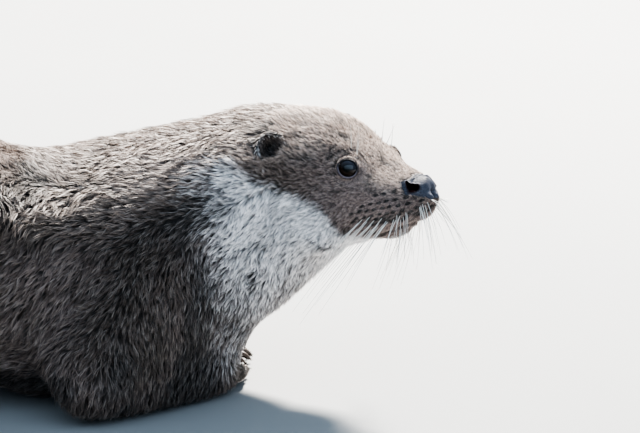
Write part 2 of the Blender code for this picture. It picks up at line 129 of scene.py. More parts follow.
# The tufts on the body and on the face, and their blades. A pair is a range of random shares.
LEAST_WIDTH = 0.09
WIDTH_BY_LENGTH = 0.028
LIFT = 21
FACE_LENGTH = 3.0
FACE_SPACING = 0.86
FACE_WIDTH = 0.17
FACE_LIFT = 18
CHEEK_EXTRA = 0.35
COAT_SEED = 3
BENT_BLADES = 5
STRAIGHT_BLADES = 12
SHORT_COATS = ("head", "ears", "paws")
BLADE_ROLL = 32
BLADE_LENGTHS = (0.7, 1.1)
BLADE_WIDTHS = (0.7, 1.3)
BLADE_SPREAD = 0.75
BLADE_BEND = 0.06
HIP_SHARE = 0.45
HIP_RUN = 0.42
HIP_RISE = 0.78
HIP_WIDTH = 0.85
TUFT_LENGTHS = (0.75, 1.2)
TUFT_LIFTS = (0.6, 1.4)
TUFT_SWING = 14
TUFT_DRAW = 0.8
FACE_DRAW = 0.35
ROOT_SINK = 0.4
ROOT_SINK_SHARE = 0.06
FLOOR_CLEARANCE = 0.3
PATCH = 0.003
# How dark the painted shade in an ear's cup is.
CUP_SHADE = 0.6
CLUMP_SHADE = 0.7
MOST_TRIANGLES = 190000

# The partings' painted shade: random values drawn out along the coat's lie over rounds of
# spreading.
STREAK_SEED = 17
STREAK_ROUNDS = 30
STREAK_NARROWNESS = 6

# A blade's shape: each point's share of its length, its triangles, and its points' places on its
# patch of the map.
STRAIGHT_BLADE = ((0, 0, 1), ((0, 1, 2),), ((-1, -1), (1, -1), (0, 1)))
BENT_BLADE = (
    (0, 0, 0.5, 0.5, 1),
    ((0, 1, 3), (0, 3, 2), (2, 3, 4)),
    ((-1, -1), (1, -1), (-1, 0), (1, 0), (0, 1)),
)

# The coat's pieces, each with the beginnings of the names of the nodes that it grows on.
COAT_GROUPS = {
    "head": ("head", "lower_jaw", "nose", "eye"),
    "ears": ("ear",),
    "neck": ("neck",),
    "chest": ("chest",),
    "loins": ("loins",),
    "forelegs": ("upper_arm", "forearm"),
    "paws": ("forepaw", "hindfoot"),
    "hindlegs": ("thigh", "shank"),
    "tail": ("tail",),
}

# How far each part's surface is smoothed: 1 is all the rounds, and the parts not named have 1.
SOFTENING = {"head": 0.22, "lower_jaw": 0.1, "nose": 0.08, "neck": 0.8, "tail_tip": 0.5}
SMALL_PART_SOFTENING = 0.06
SMALL_PARTS = ("ear", "eye", "forepaw", "hindfoot")
SOFTENING_ROUNDS = 90
SPREAD_ROUNDS = 8

# The parts of the face that get a finer mesh, as lowest and highest corners in the head's frame.
FINE_BOXES = (
    ((-82, 0, -44), (8, 44, 46)),
    ((-26, 0, -16), (8, 26, 18)),
    ((-66, 10, -4), (-36, 42, 28)),
)

# Each eye: its distance from the head's middle, the way it looks and the line of its slit.
EYE_SPACING = 26.0
EYE_GAZE = (0.42, 0.87, 0.27)
EYE_SLIT = (1.0, 0.0, -0.22)
LID_HALF_WIDTH = 5.7
LID_HALF_HEIGHT = 5.3
LID_THICKNESS = 0.8
LID_START = 1.35
LID_END = 2.5
LID_HOLE = 1.4
LID_REACH = 22
BARE_SLIT = (1.22, 1.1)
# Creases round an eye: radius, where each starts and ends in degrees round it, depth and width.
EYE_FOLDS = (
    (12.2, 30, 195, 0.85, 0.75),
    (9.2, 80, 215, 0.6, 0.6),
    (10.2, 205, 300, 0.55, 0.7),
    (15.5, 120, 215, 0.7, 0.8),
)
FOLD_DRIFT = 0.5
FOLD_WAVES = 5
FOLD_ENDS = 25
FULL_FOLD = 0.6
# How dark the creases are painted: painted shade in their folds.
FOLD_SHADE = 0.6

# The mouth's line in the head's X and Z, from the front to its corner.
MOUTH_LINE = (
    (1, -12),
    (-8, -17.5),
    (-17, -21.5),
    (-26, -26),
    (-34, -29.5),
    (-42, -33),
    (-52, -37),
    (-60, -38),
    (-66, -33.5),
    (-71, -30.5),
)
MOUTH_WIDTH = 0.75
MOUTH_DEPTH = 1.7
MOUTH_REAR_X = (-73, -68)
LIP_SWELL = 0.5
LIP_ABOVE = 3
LIP_WIDTH = 2.2

# The face has a coat of its own: its depth, and where it starts in the head's X and the model's.
FACE_DEPTH = 1.1
FACE_START_X = (-84, -40)
FACE_START_ROW_X = (330, 350)
FACE_COAT_X = (-98, -34)
FACE_ROUNDS = 4
# How far the skin must face up, after smoothing, for the painted sunlight to start and be full.
UPWARD = (0.3, 0.8)
UPWARD_ROUNDS = 12

# How the coat fits the bare parts of the face: how much shorter and closer it is beside them, and
# how far from an eye it turns aside.
EDGE_CLOSENESS = 0.3
CLOSE_PAD = (-3, -1.5)
CLOSE_SLIT = (2.8, 1.6)
SLIT_SHORTNESS = 0.4
ROUND_EYE = (15, 8)
ROUND_EYE_TURN = 1.35
BARE_MOUTH = (0.45, 0.7)
BARE_PIT = (0.5, 0.8)
LIP_EDGE = (0.05, 0.2)
LIP_ROUNDS = 14
LIP_SHORTNESS = 0.15
LIP_CLOSENESS = 0.12

# Where the mouth's line stops under the jaw: how far from the middle it stays, along X.
MOUTH_INNER_X = (-60, -52, -42, -34, -26, -17, -14)
MOUTH_INNER_Y = (24, 18, 10, 8, 5, 0, -5)

# The bare pad of the nose: its rear edge, the height of its shoulders, and its lower edge.
PAD_REAR_Z = (0, 2.5, 5, 6.8, 7.4, 8.4, 10, 14)
PAD_REAR_X = (-15.2, -16.7, -19.2, -20.5, -18.5, -16.8, -17.5, -17.5)
PAD_LOW_Y = (0, 1.5, 6, 10, 13, 18)
PAD_LOW_Z = (-4.8, -4.2, -2.1, -1.1, -0.5, 0)
PAD_BORDER = (0.2, 1.4)
BARE_PAD = (-0.9, -0.5)
BESIDE_PAD = (-4, -1.5)
PAD_RECESS = 1.1

# How the muzzle's front and the chin move back. A pair says where a shift starts and is full.
SNOUT_BLUNTING = 5.6
SNOUT_WIDTH = 11
SNOUT_ROUNDING = 3.0
SNOUT_START_X = (-19, -8)
SNOUT_LOW_Z = (-5, 1)
SNOUT_HIGH_Z = (12, 7)
SIDES_LOW_Z = (-6, 0)
SIDES_INNER_Y = (2, 9)
SIDES_OUTER_Y = (14, 10)
PHILTRUM_DEPTH = 3.6
PHILTRUM_WIDTH = 2.4
PHILTRUM_LOW_Z = (-18, -10)
PHILTRUM_HIGH_Z = (3, -3)
CHIN_SHIFT = (-3.0, 0, 0.4)
CHIN_BELOW_MOUTH = (0.5, -4)
CHIN_START_X = (-46, -26)

# The nostrils: their middle line from the slit's rear end to the hole, and their size along it.
NOSTRIL_LINE = ((-18.2, 6.2), (-16.9, 5.0), (-15.0, 3.4), (-13.3, 2.6))
NOSTRIL_WIDTHS = (0.3, 0.5, 0.95, 1.75)
NOSTRIL_INNER = 6.5
NOSTRIL_DEPTH = 5
NOSTRIL_SLIT_SHARE = 0.2
NOSTRIL_PROFILE = 0.7
NOSTRIL_WAY = (-0.35, -0.9, 0.1)
NOSTRIL_OUTSIDE = 9.0
SKIN_NOSTRIL_WIDER = 1.9
SKIN_NOSTRIL_DEEPER = 3.5

# The whiskers' roots, in rows on the lip.
FOLLICLE_SEED = 11
FOLLICLE_COUNTS = (4, 7, 9, 9, 9, 7, 5)
FOLLICLE_START = (-18, -10.8, -8.4, -6, -8.4, -10.8, -18)
FOLLICLE_STEP = 4.8
FOLLICLE_TOP = 2.0
FOLLICLE_ROW_STEP = 3.1
FOLLICLE_SLOPE = 0.28
FOLLICLE_SCATTER = (0.3, 0.25)
FOLLICLE_LENGTH = 1.35
FOLLICLE_WIDTH = 1.1
FOLLICLE_SLANT = 0.35
FOLLICLE_ZONE_X = (-60, 0)
FOLLICLE_ZONE_TOP = 12
PIT_DEPTH = 0.35

# Each ear's cup: the way it opens in the head's frame, its radius and depth, and its rim.
EAR_OPENING = (0.65, 0.72, 0.2)
EAR_CUP = 8.2
EAR_CUP_DEPTH = 4.0
EAR_RIM = 1.2
EAR_RIM_AT = 1.08
EAR_RIM_WIDTH = 0.15
# Painted rim light on each ear's upper rear rim: its width and how pale it makes the coat.
EAR_RIM_LIGHT_WIDTH = 0.16
EAR_RIM_LIGHT = 0.8
EAR_SHORTNESS = 0.3
EAR_INSIDE = (0.95, 0.7)
EAR_EXTRA = 0.5
EAR_CLOSE = (1.6, 1.2)
EAR_CLOSENESS = 0.2
EAR_ROUNDS = 3
EAR_LEAST = 0.3
EAR_HOLLOW = (1.0, 0.45)
EAR_FLOOR = -3
EAR_ACROSS = (0.6, 0, -0.8)
EAR_SPRAY = (-0.5, 0, 0.4)

# The upper edge of the pale cheek in the head's frame, and its rear edge in the model's.
PALE_EDGE_X = (-112, -102, -80, -60, -52, -44, -10)
PALE_EDGE_Z = (18, 10, 0, -9, -23, -28, -30)
PALE_REAR = (266, 328)
PALE_SOFTNESS = (3, -9)
PALE_FOOT_Z = (6, 30)
PALE_BREAST = 0.55
PALE_BREAST_Z = (50, 130)
PALE_CHIN = 0.75

# Each paw, from the right forepaw to the left hindfoot: where its toes fan from, the way it points
# and how far they spread to each side in degrees, their length, and half the width at their roots.
PAWS = (
    ((305.1, 2.65, 9), 94, 17, 20, 9),
    ((292.1, 60.65, 9), -12, 20, 20, 9),
    ((53.1, -86.35, 9), -6, 22, 38, 14),
    ((53.1, 41.65, 9), 6, 22, 38, 14),
)
TOES = 5
OUTER_TOE_LOSS = 0.2
TOE_SINK = 2.5

# The claws: how far ahead of the toe's end and above it each starts, and how it curves down.
CLAW_LENGTH = 10.5
CLAW_RADIUS = 1.7
CLAW_TIP_RADIUS = 0.012
CLAW_START = (1.2, 2.0)
CLAW_BEND = (0.55, 0.9)
CLAW_TIP_DROP = 2.6
CLAW_POINTS = 9
CLAW_SIDES = 10
CLAW_CLEARANCE = 0.15

# The eyeball's cornea, and the rim of the lids: its radius, and how that changes round the eye.
CORNEA_BULGE = 0.35
CORNEA_ANGLE = 0.5
LID_RIM_OUT = 1.03
LID_RIM_REACH = 0.25
LID_RIM_RADIUS = 0.52
LID_RIM_UPPER_LOSS = 0.14
LID_RIM_CORNER = 0.25
LID_RIM_WAVE = 0.05
LID_CORNER_ANGLE = 0.45
LID_CORNER_REACH = 0.1

# The nose's leather: how it stands over the skin, where its mesh ends, and its thickness.
PAD_SWELL = 0.3
PAD_EDGE = -0.9
PAD_EDGE_DEPTH = 1.7
PAD_THICKNESS = 0.5
PAD_CLEFT_DEPTH = 0.6
PAD_CLEFT_WIDTH = 0.8
NOSTRIL_RIM = 0.45
NOSTRIL_RIM_AT = 1.3
NOSTRIL_RIM_WIDTH = 0.3

# The whiskers of the lip's rows: headings and lengths at the front, and what the rear ones add.
WHISKER_SEED = 8
WHISKER_TOP = -11
WHISKER_SHARE = 0.85
WHISKER_REAR_X = (-14, -34)
WHISKER_OUTSIDE = 18
WHISKER_HEADING = (0.35, 0.75, -0.95)
WHISKER_HEADING_CHANGE = (-1.3, -0.3, -0.1)
WHISKER_LENGTH = 16
WHISKER_LENGTH_GAIN = 42
WHISKER_LENGTH_SHARE = (0.55, 1.2)
WHISKER_DROOP = 0.14

# Sparse hairs on each side: how many, their places and headings in the head's frame with Y outward,
# their length, their droop as a share of it, and more droop. A pair is a range to draw from.
SPARSE_HAIRS = (
    (8, ((-9, -1), (3, 12), (-11, -6)), (0.5, (0.1, 0.6), (-1.4, -0.6)), (16, 34), 0.3, 0),
    (6, ((-34, -16), (2, 11), -30), (-0.2, 0.2, -1), (10, 24), 0, 2),
    (3, ((-56, -46), (18, 22), 24), ((-0.3, 0.3), 0.3, 1), (12, 18), 0, -1),
    (5, ((-4, 0), (3, 9), (-6, -3)), (1, 0.3, (-0.6, 0.4)), (4, 9), 0, 0.6),
)

# Each whisker's form: its radius, its tip's share of that, and its root's depth under the skin.
WHISKER_RADIUS = 0.22
WHISKER_TIP = 0.25
WHISKER_ROOT = 0.8
WHISKER_RISE = 0.3
WHISKER_SCATTER = 0.05
WHISKER_ARCH = 0.06
WHISKER_POINTS = 12
WHISKER_SIDES = 5

# Colours of the coat at a hair's middle, and of the bare parts.
BROWN = (0.068, 0.046, 0.034)
FACE_BROWN = (0.235, 0.175, 0.155)
# Painted sunlight: the lighter tone that fur facing up is turned towards.
SUNLIT_TONE = (0.5, 0.39, 0.32)
PALE = (0.72, 0.69, 0.68)
DARK = (0.012, 0.009, 0.008)
# The tips' frost: partly their own paler colour, partly a painted sheen.
FROSTED_SHEEN = (0.5, 0.45, 0.41)
UNDERCOAT = (0.3, 0.28, 0.27)
FACE_UNDERCOAT = (0.75, 0.72, 0.7)
# Along each blade: painted shade darkening it towards the root, and tips lighter partly of their
# own and partly from a painted sheen.
ROOT_SHADE = 0.05
TIP_TONE = 2.4
TONE_POWER = 1.5
TIP_FROST = 0.7
COAT_ROUGHNESS = 0.5
BARE_DARK = (0.03, 0.025, 0.025)
BARE_LIGHT = (0.09, 0.075, 0.075)
NOSE_DARK = (0.035, 0.037, 0.048)
NOSE_LIGHT = (0.12, 0.135, 0.18)
# Painted shade inside the nostrils.
NOSTRIL_SHADE = (0.009, 0.004, 0.0045)
IRIS_DARK = (0.006, 0.0035, 0.003)
IRIS_LIGHT = (0.022, 0.011, 0.007)
PUPIL = (0.002, 0.002, 0.002)
# Painted reflection of a pale sky on the eye's upper part.
SKY_REFLECTION = (0.01, 0.015, 0.028)
LID_DARK = (0.018, 0.014, 0.014)
LID_PALE = (0.15, 0.125, 0.14)
CLAW_DARK = (0.06, 0.045, 0.038)
CLAW_LIGHT = (0.2, 0.16, 0.13)
WHISKER_SHADE = (0.6, 0.58, 0.54)
WHISKER_LIGHT = (0.9, 0.88, 0.84)
FLOOR_SHADE = (0.36, 0.36, 0.36)
FLOOR_LIGHT = (0.4, 0.4, 0.39)
FLOOR_SIZE = 6000

# Finishes of two tones: roughness, specular level, the grain's scale and detail, and the tones.
TWO_TONES = {
    "claw": (0.35, 0.5, 500.0, 3.0, CLAW_DARK, CLAW_LIGHT),
    "whisker": (0.35, 0.5, 60.0, 2.0, WHISKER_SHADE, WHISKER_LIGHT),
    "floor": (0.85, 0.2, 3.0, 3.0, FLOOR_SHADE, FLOOR_LIGHT),
}

# Lights: place and size in metres, watts and colour. All look at the middle of the view.
LIGHTS = (
    ("sun", (0.95, 1.75, 2.3), (0.4, 0.4), 410, (1.0, 0.96, 0.9)),
    ("sky", (0.8, -3.6, 2.9), (13.0, 5.5), 240, (0.62, 0.8, 1.0)),
)
WORLD_COLOUR = (0.6, 0.79, 1.0)
WORLD_STRENGTH = 0.45


def unit(rows):
    """The rows as vectors of length 1."""
    return rows / np.maximum(np.linalg.norm(rows, axis=-1, keepdims=True), 1e-9)


def fade(values, start, end):
    """0 before the start, 1 past the end, and a smooth step between. The start may be larger."""
    t = np.clip((values - start) / (end - start), 0, 1)
    return t * t * (3 - 2 * t)


def dot(rows, axis):
    """Each row's dot product with its own row of the other, or with one axis for all."""
    return np.einsum("ij,ij->i", rows, np.broadcast_to(axis, rows.shape))


def middle_of(node):
    """The middle of a node's box in millimetres."""
    low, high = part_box(node)
    return np.array((low + high) / 2) / MM


class HeadFrame:
    """The head's own axes: X from the eyes forward, Y to its left, and the tip of the nose at 0."""

    def __init__(self):
        """Finds the axes from the two eyes."""
        right, left = middle_of("eye_right"), middle_of("eye_left")
        across = unit(left - right)
        ahead = unit(np.cross(across, (0, 0, 1)))
        self.axes = np.array([ahead, across, np.cross(ahead, across)])
        between = (right + left) / 2
        self.tip = between + ahead * EYES_TO_NOSE - self.axes[2] * EYES_ABOVE_NOSE

    def local(self, points):
        """Points of the model's frame, in the head's."""
        return (points - self.tip) @ self.axes.T

    def world(self, points):
        """Points of the head's frame, in the model's."""
        return np.asarray(points, float) @ self.axes + self.tip

    def turn(self, directions):
        """Directions of the head's frame, in the model's."""
        return np.asarray(directions, float) @ self.axes


class Net:
    """The edges of a triangle mesh, for spreading values from each point to its neighbours."""

    def __init__(self, triangles, count):
        """Lists each edge in both directions."""
        pairs = np.concatenate([triangles[:, [0, 1]], triangles[:, [1, 2]], triangles[:, [2, 0]]])
        pairs = np.unique(np.sort(pairs, axis=1), axis=0)
        self.start = np.concatenate([pairs[:, 0], pairs[:, 1]])
        self.end = np.concatenate([pairs[:, 1], pairs[:, 0]])
        self.count = count
        self.degree = np.maximum(np.bincount(self.start, minlength=count), 1)

    def mean(self, values):
        """The mean of each point's neighbours."""
        columns = values.reshape(self.count, -1)
        sums = [np.bincount(self.start, column[self.end], self.count) for column in columns.T]
        return (np.stack(sums, axis=1) / self.degree[:, None]).reshape(values.shape)

    def relaxed(self, values, rounds, weight=0.5):
        """The values after rounds of moving each towards its neighbours' mean."""
        weight = np.broadcast_to(weight, self.count)
        weight = weight.reshape((-1,) + (1,) * (values.ndim - 1))
        for _ in range(rounds):
            values = values + weight * (self.mean(values) - values)
        return values


def normals_of(points, triangles):
    """The way out of the surface at each point."""
    corners = points[triangles]
    cross = np.cross(corners[:, 1] - corners[:, 0], corners[:, 2] - corners[:, 0])
    total = np.zeros_like(points)
    for k in range(3):
        for axis in range(3):
            total[:, axis] += np.bincount(triangles[:, k], cross[:, axis], len(points))
    return unit(total)


def mesh_object(name, points, faces, smooth=True):
    """A mesh object from points in millimetres and an array of faces with equal corner counts."""
    mesh = bpy.data.meshes.new(name)
    corners = faces.shape[1]
    mesh.vertices.add(len(points))
    mesh.vertices.foreach_set("co", (points * MM).astype(np.float32).ravel())
    mesh.loops.add(faces.size)
    mesh.loops.foreach_set("vertex_index", faces.astype(np.int32).ravel())
    mesh.polygons.add(len(faces))
    mesh.polygons.foreach_set("loop_start", np.arange(0, faces.size, corners, dtype=np.int32))
    if smooth:
        mesh.polygons.foreach_set("use_smooth", np.ones(len(faces), bool))
    mesh.update(calc_edges=True)
    obj = bpy.data.objects.new(name, mesh)
    bpy.context.scene.collection.objects.link(obj)
    return obj


def arrays_of(obj):
    """The object's points in millimetres and its triangles."""
    mesh = obj.data
    points = np.empty(len(mesh.vertices) * 3, np.float32)
    mesh.vertices.foreach_get("co", points)
    mesh.calc_loop_triangles()
    triangles = np.empty(len(mesh.loop_triangles) * 3, np.int32)
    mesh.loop_triangles.foreach_get("vertices", triangles)
    return points.reshape(-1, 3).astype(float) / MM, triangles.reshape(-1, 3)


def drop(obj):
    """Removes an object and its mesh."""
    mesh = obj.data
    bpy.data.objects.remove(obj)
    bpy.data.meshes.remove(mesh)


def baked(obj):
    """Replaces the object's mesh by what its modifiers make of it."""
    bpy.context.view_layer.update()
    graph = bpy.context.evaluated_depsgraph_get()
    mesh = bpy.data.meshes.new_from_object(obj.evaluated_get(graph))
    old = obj.data
    obj.modifiers.clear()
    obj.data = mesh
    bpy.data.meshes.remove(old)
    return obj


def welded(node):
    """A CAD node's points in millimetres and triangles, with its split corners made one."""
    form = bmesh.new()
    form.from_mesh(node.data)
    bmesh.ops.remove_doubles(form, verts=form.verts[:], dist=0.001 * MM)
    bmesh.ops.triangulate(form, faces=form.faces[:])
    points = np.array([vert.co for vert in form.verts]) / MM
    triangles = np.array([[vert.index for vert in face.verts] for face in form.faces])
    form.free()
    return points, triangles


class Solids:
    """The CAD nodes as one surface that tells which node lies nearest to a point."""

    def __init__(self, nodes):
        """Joins the nodes' meshes, with each triangle's node as its label."""
        self.names = sorted(nodes)
        points, triangles, labels = [], [], []
        start = 0
        for label, name in enumerate(self.names):
            own_points, own_triangles = welded(nodes[name])
            points.append(own_points)
            triangles.append(own_triangles + start)
            labels.append(np.full(len(own_triangles), label))
            start += len(own_points)
        self.points = np.concatenate(points)
        self.triangles = np.concatenate(triangles)
        self.labels = np.concatenate(labels)
        self.tree = BVHTree.FromPolygons(self.points.tolist(), self.triangles.tolist())

    def nearest(self, points):
        """The label of the node nearest to each point."""
        found = [self.tree.find_nearest(point)[2] for point in points.tolist()]
        return self.labels[np.array(found)]

    def values(self, labels, number_of):
        """Each point's number, from a function of the node's name."""
        return np.array([number_of(name) for name in self.names], float)[labels]


def coat_of(name):
    """A node's row of COATS."""
    return COATS.get(name) or COATS[name.removesuffix("_right").removesuffix("_left")]


def softening_of(name):
    """How far a node's surface is smoothed, from 0 to 1."""
    if name.startswith(SMALL_PARTS):
        return SMALL_PART_SOFTENING
    return SOFTENING.get(name, 1.0)


def flesh_surface(solids):
    """The solids as one smooth closed surface, finer on the face."""
    points = solids.points + normals_of(solids.points, solids.triangles) * SWELL
    obj = mesh_object("flesh", points, solids.triangles)
    modifier = obj.modifiers.new("Join", "REMESH")
    modifier.mode = "VOXEL"
    modifier.voxel_size = CELL * MM
    points, triangles = arrays_of(baked(obj))
    labels = solids.nearest(points)
    net = Net(triangles, len(points))
    weight = net.relaxed(solids.values(labels, softening_of), 6) * 0.5
    points = net.relaxed(points, SOFTENING_ROUNDS, weight)
    obj.data.vertices.foreach_set("co", (points * MM).astype(np.float32).ravel())
    group = obj.vertex_groups.new(name="plain")
    for index in np.flatnonzero(weight > 0.3).tolist():
        group.add([index], 1.0, "REPLACE")
    modifier = obj.modifiers.new("Thin", "DECIMATE")
    modifier.ratio = SKIN_TRIANGLES / len(triangles)
    modifier.vertex_group = "plain"
    modifier.vertex_group_factor = 0.35
    return baked(obj)


def refined(obj, head):
    """Halves the mesh's edges within each box of the head's frame."""
    for low, high in FINE_BOXES:
        points, _ = arrays_of(obj)
        local = head.local(points)
        local[:, 1] = np.abs(local[:, 1])
        inside = ((local > low) & (local < high)).all(axis=1)
        form = bmesh.new()
        form.from_mesh(obj.data)
        edges = [edge for edge in form.edges if all(inside[vert.index] for vert in edge.verts)]
        bmesh.ops.subdivide_edges(form, edges=edges, cuts=1, use_grid_fill=True)
        bmesh.ops.triangulate(form, faces=form.faces[:])
        form.to_mesh(obj.data)
        form.free()
    return obj


def polyline_distance(x, z, line):
    """Each point's distance in a plane from a line, and how far along it the nearest place is."""
    best = np.full(len(x), 1e9)
    share = np.zeros(len(x))
    for k, ((x0, z0), (x1, z1)) in enumerate(zip(line, line[1:])):
        dx, dz = x1 - x0, z1 - z0
        t = np.clip(((x - x0) * dx + (z - z0) * dz) / (dx * dx + dz * dz), 0, 1)
        distance = np.hypot(x - x0 - t * dx, z - z0 - t * dz)
        closer = distance < best
        best = np.where(closer, distance, best)
        share = np.where(closer, (k + t) / (len(line) - 1), share)
    return best, share


class Eye:
    """One eye's place and axes in the head's frame: along the lids' slit, up across it, outward."""

    def __init__(self, sign):
        """Sets the eyeball's centre back from its place between the lids."""
        self.sign = sign
        gaze = unit(np.array(EYE_GAZE) * (1, sign, 1))
        middle = np.array((-EYES_TO_NOSE, sign * EYE_SPACING, EYES_ABOVE_NOSE))
        self.centre = middle - gaze * EYE_SETBACK
        slit = np.array(EYE_SLIT, float)
        slit = unit(slit - gaze * (slit @ gaze))
        up = np.cross(gaze, slit) * -sign
        self.axes = np.array([slit, up, gaze])

    def place(self, local):
        """Points of the head's frame, in the eye's."""
        return (local - self.centre) @ self.axes.T

    def back(self, place):
        """Points of the eye's frame, in the head's."""
        return place @ self.axes + self.centre

    def slit(self, place):
        """Each point's distance from the middle of the slit, where 1 is the lids' edge."""
        return np.hypot(place[:, 0] / LID_HALF_WIDTH, place[:, 1] / LID_HALF_HEIGHT)


class Ear:
    """One ear's place and axes: across its cup twice, and the way it opens."""

    def __init__(self, side, sign, head):
        """Finds the ear's place from its node."""
        self.name = "ear_" + side
        self.sign = sign
        self.middle = middle_of(self.name)
        opening = head.turn(unit(np.array(EAR_OPENING) * (1, sign, 1)))
        up = unit(head.axes[2] - opening * (head.axes[2] @ opening))
        self.axes = np.array([np.cross(up, opening), up, opening])

    def place(self, points):
        """Points of the model's frame, in the ear's."""
        return (points - self.middle) @ self.axes.T

    def behind(self, points):
        """1 on the upper and rear half of the ear, 0 on the half before and below it."""
        place = self.place(points)
        radius = np.maximum(np.hypot(place[:, 0], place[:, 1]), 1)
        return fade((self.sign * place[:, 0] + 1.3 * place[:, 1]) / radius, -0.4, 0.4)

    def cup(self, points):
        """Each point's distance from the ear's axis, as a share of the cup's radius."""
        place = self.place(points)
        radius = np.hypot(place[:, 0], place[:, 1] * 0.95) / EAR_CUP
        return np.where(place[:, 2] > EAR_FLOOR, radius, 9.0)

    def rim(self, points, width=EAR_RIM_WIDTH):
        """1 on the rim of the cup, fading to 0 on both sides of it."""
        return np.exp(-(((self.cup(points) - EAR_RIM_AT) / width) ** 2))


def nose_pad_depth(local):
    """How far inside the nose pad's outline each point of the muzzle lies."""
    x, y, z = local.T
    rear = np.interp(z, PAD_REAR_Z, PAD_REAR_X)
    low = np.interp(np.abs(y), PAD_LOW_Y, PAD_LOW_Z)
    return np.minimum(x - rear, z - low)


def snout_shift(local):
    """How far back the muzzle's front moves: behind the nose pad, and in the cleft of the lip."""
    x, y, z = local.T
    aside = np.abs(y)
    below_bridge = fade(z, *SNOUT_HIGH_Z)
    pad = SNOUT_BLUNTING * np.exp(-((y / SNOUT_WIDTH) ** 2)) * fade(z, *SNOUT_LOW_Z) * below_bridge
    cleft = PHILTRUM_DEPTH * np.exp(-((y / PHILTRUM_WIDTH) ** 2))
    cleft = cleft * fade(z, *PHILTRUM_LOW_Z) * fade(z, *PHILTRUM_HIGH_Z)
    sides = SNOUT_ROUNDING * fade(aside, *SIDES_INNER_Y) * fade(aside, *SIDES_OUTER_Y)
    sides = sides * fade(z, *SIDES_LOW_Z) * below_bridge
    return (pad + cleft + sides) * fade(x, *SNOUT_START_X)


def mouth_height(x):
    """The height of the mouth's line at each X of the head's frame."""
    return np.interp(x, *np.array(MOUTH_LINE[::-1]).T)


def chin_mask(local):
    """1 on the front of the lower jaw, below the mouth's line."""
    x, _, z = local.T
    return fade(z - mouth_height(x), *CHIN_BELOW_MOUTH) * fade(x, *CHIN_START_X)


def nostril(local, wider=1.0, deeper=0.0):
    """Distance from a nostril's middle line as a share of its width, and the shift into it."""
    x, y, z = local.T
    distance, share = polyline_distance(x, z, NOSTRIL_LINE)
    width = np.interp(share, np.linspace(0, 1, len(NOSTRIL_WIDTHS)), NOSTRIL_WIDTHS)
    reach = np.where(np.abs(y) > NOSTRIL_INNER, distance / (width * wider), NOSTRIL_OUTSIDE)
    depth = NOSTRIL_DEPTH * (NOSTRIL_SLIT_SHARE + (1 - NOSTRIL_SLIT_SHARE) * share) + deeper
    depth = depth * np.clip(1 - reach**2, 0, 1) ** NOSTRIL_PROFILE
    depth *= fade(nose_pad_depth(local), *PAD_BORDER)
    ones = np.ones(len(x))
    way = np.stack([ones, np.sign(y), ones], axis=1) * NOSTRIL_WAY
    return reach, way * depth[:, None]


def folds(eye, local):
    """Depth of the creases that curve over and behind an eye."""
    place = eye.place(local)
    radius = np.hypot(place[:, 0], place[:, 1])
    angle = np.degrees(np.arctan2(place[:, 1], place[:, 0])) % 360
    total = np.zeros(len(local))
    for middle, start, end, depth, width in EYE_FOLDS:
        drift = FOLD_DRIFT * np.sin(np.radians(angle) * FOLD_WAVES + middle)
        ring = np.exp(-(((radius - middle - drift) / width) ** 2))
        sector = fade(angle, start, start + FOLD_ENDS) * fade(angle, end, end - FOLD_ENDS)
        total += depth * ring * sector
    near = np.sign(local[:, 1]) == eye.sign
    return np.where(near, total, 0)


def follicles():
    """Places of the whiskers' roots on one side of the muzzle, in the head's X and Z."""
    rng = np.random.default_rng(FOLLICLE_SEED)
    for row, (first, count) in enumerate(zip(FOLLICLE_START, FOLLICLE_COUNTS)):
        for k in range(count):
            x = first - k * FOLLICLE_STEP + rng.normal(0, FOLLICLE_SCATTER[0])
            z = FOLLICLE_TOP - row * FOLLICLE_ROW_STEP + FOLLICLE_SLOPE * (x - first)
            z = z + rng.normal(0, FOLLICLE_SCATTER[1])
            yield x, z


def follicle_mask(local):
    """1 at the middle of each whisker's root, fading to 0 round it."""
    x, _, z = local.T
    rear, front = FOLLICLE_ZONE_X
    mask = np.zeros(len(local))
    near = (x > rear) & (x < front) & (z < FOLLICLE_ZONE_TOP)
    for fx, fz in follicles():
        along = (x[near] - fx) / FOLLICLE_LENGTH
        across = (z[near] - fz - FOLLICLE_SLANT * (x[near] - fx)) / FOLLICLE_WIDTH
        mask[near] = np.maximum(mask[near], np.exp(-(along**2) - across**2))
    return mask


def pale_mask(points, head):
    """1 on the pale cheeks, throat and breast, 0 on the brown of the back."""
    local = head.local(points)
    x, _, z = local.T
    edge = np.interp(x, PALE_EDGE_X, PALE_EDGE_Z)
    below = fade(z - edge, *PALE_SOFTNESS)
    ahead = fade(points[:, 0], *PALE_REAR)
    breast = PALE_BREAST + (1 - PALE_BREAST) * fade(points[:, 2], *PALE_BREAST_Z)
    throat = fade(points[:, 2], *PALE_FOOT_Z) * breast
    return np.maximum(below * ahead * throat, PALE_CHIN * chin_mask(local))


def head_lie(local):
    """The coat's way over the head: back from the nose, down the cheeks and outward on the lips."""
    x, y, z = local.T
    lie = np.tile((-1.0, 0.0, 0.0), (len(local), 1))
    low = fade(z, *LOW_FACE_Z)
    lie[:, 2] -= low * (LOW_FACE_FALL + CHEEK_FALL * fade(x, *CHEEK_X))
    lie[:, 1] += np.sign(y) * MUZZLE_SPREAD * fade(x, *MUZZLE_X)
    lie[:, 2] -= LIP_FALL * low * fade(x, *LIP_X)
    return lie


def lie_of(name, points, normals, head):
    """The way the coat lies on one solid, before it is smoothed along the skin."""
    if name in HEAD_PARTS:
        return head.turn(head_lie(head.local(points)))
    if name.startswith("ear"):
        return unit(points - middle_of(name)) + np.array(EAR_SPRAY)
    lie = np.tile(np.array(coat_of(name)[LIE], float), (len(points), 1))
    if name in ("neck", "chest"):
        front = fade(normals[:, 0], *FRONT_FACING)[:, None]
        lie = lie * (1 - front) + np.array(FRONT_LIE) * front
    return lie


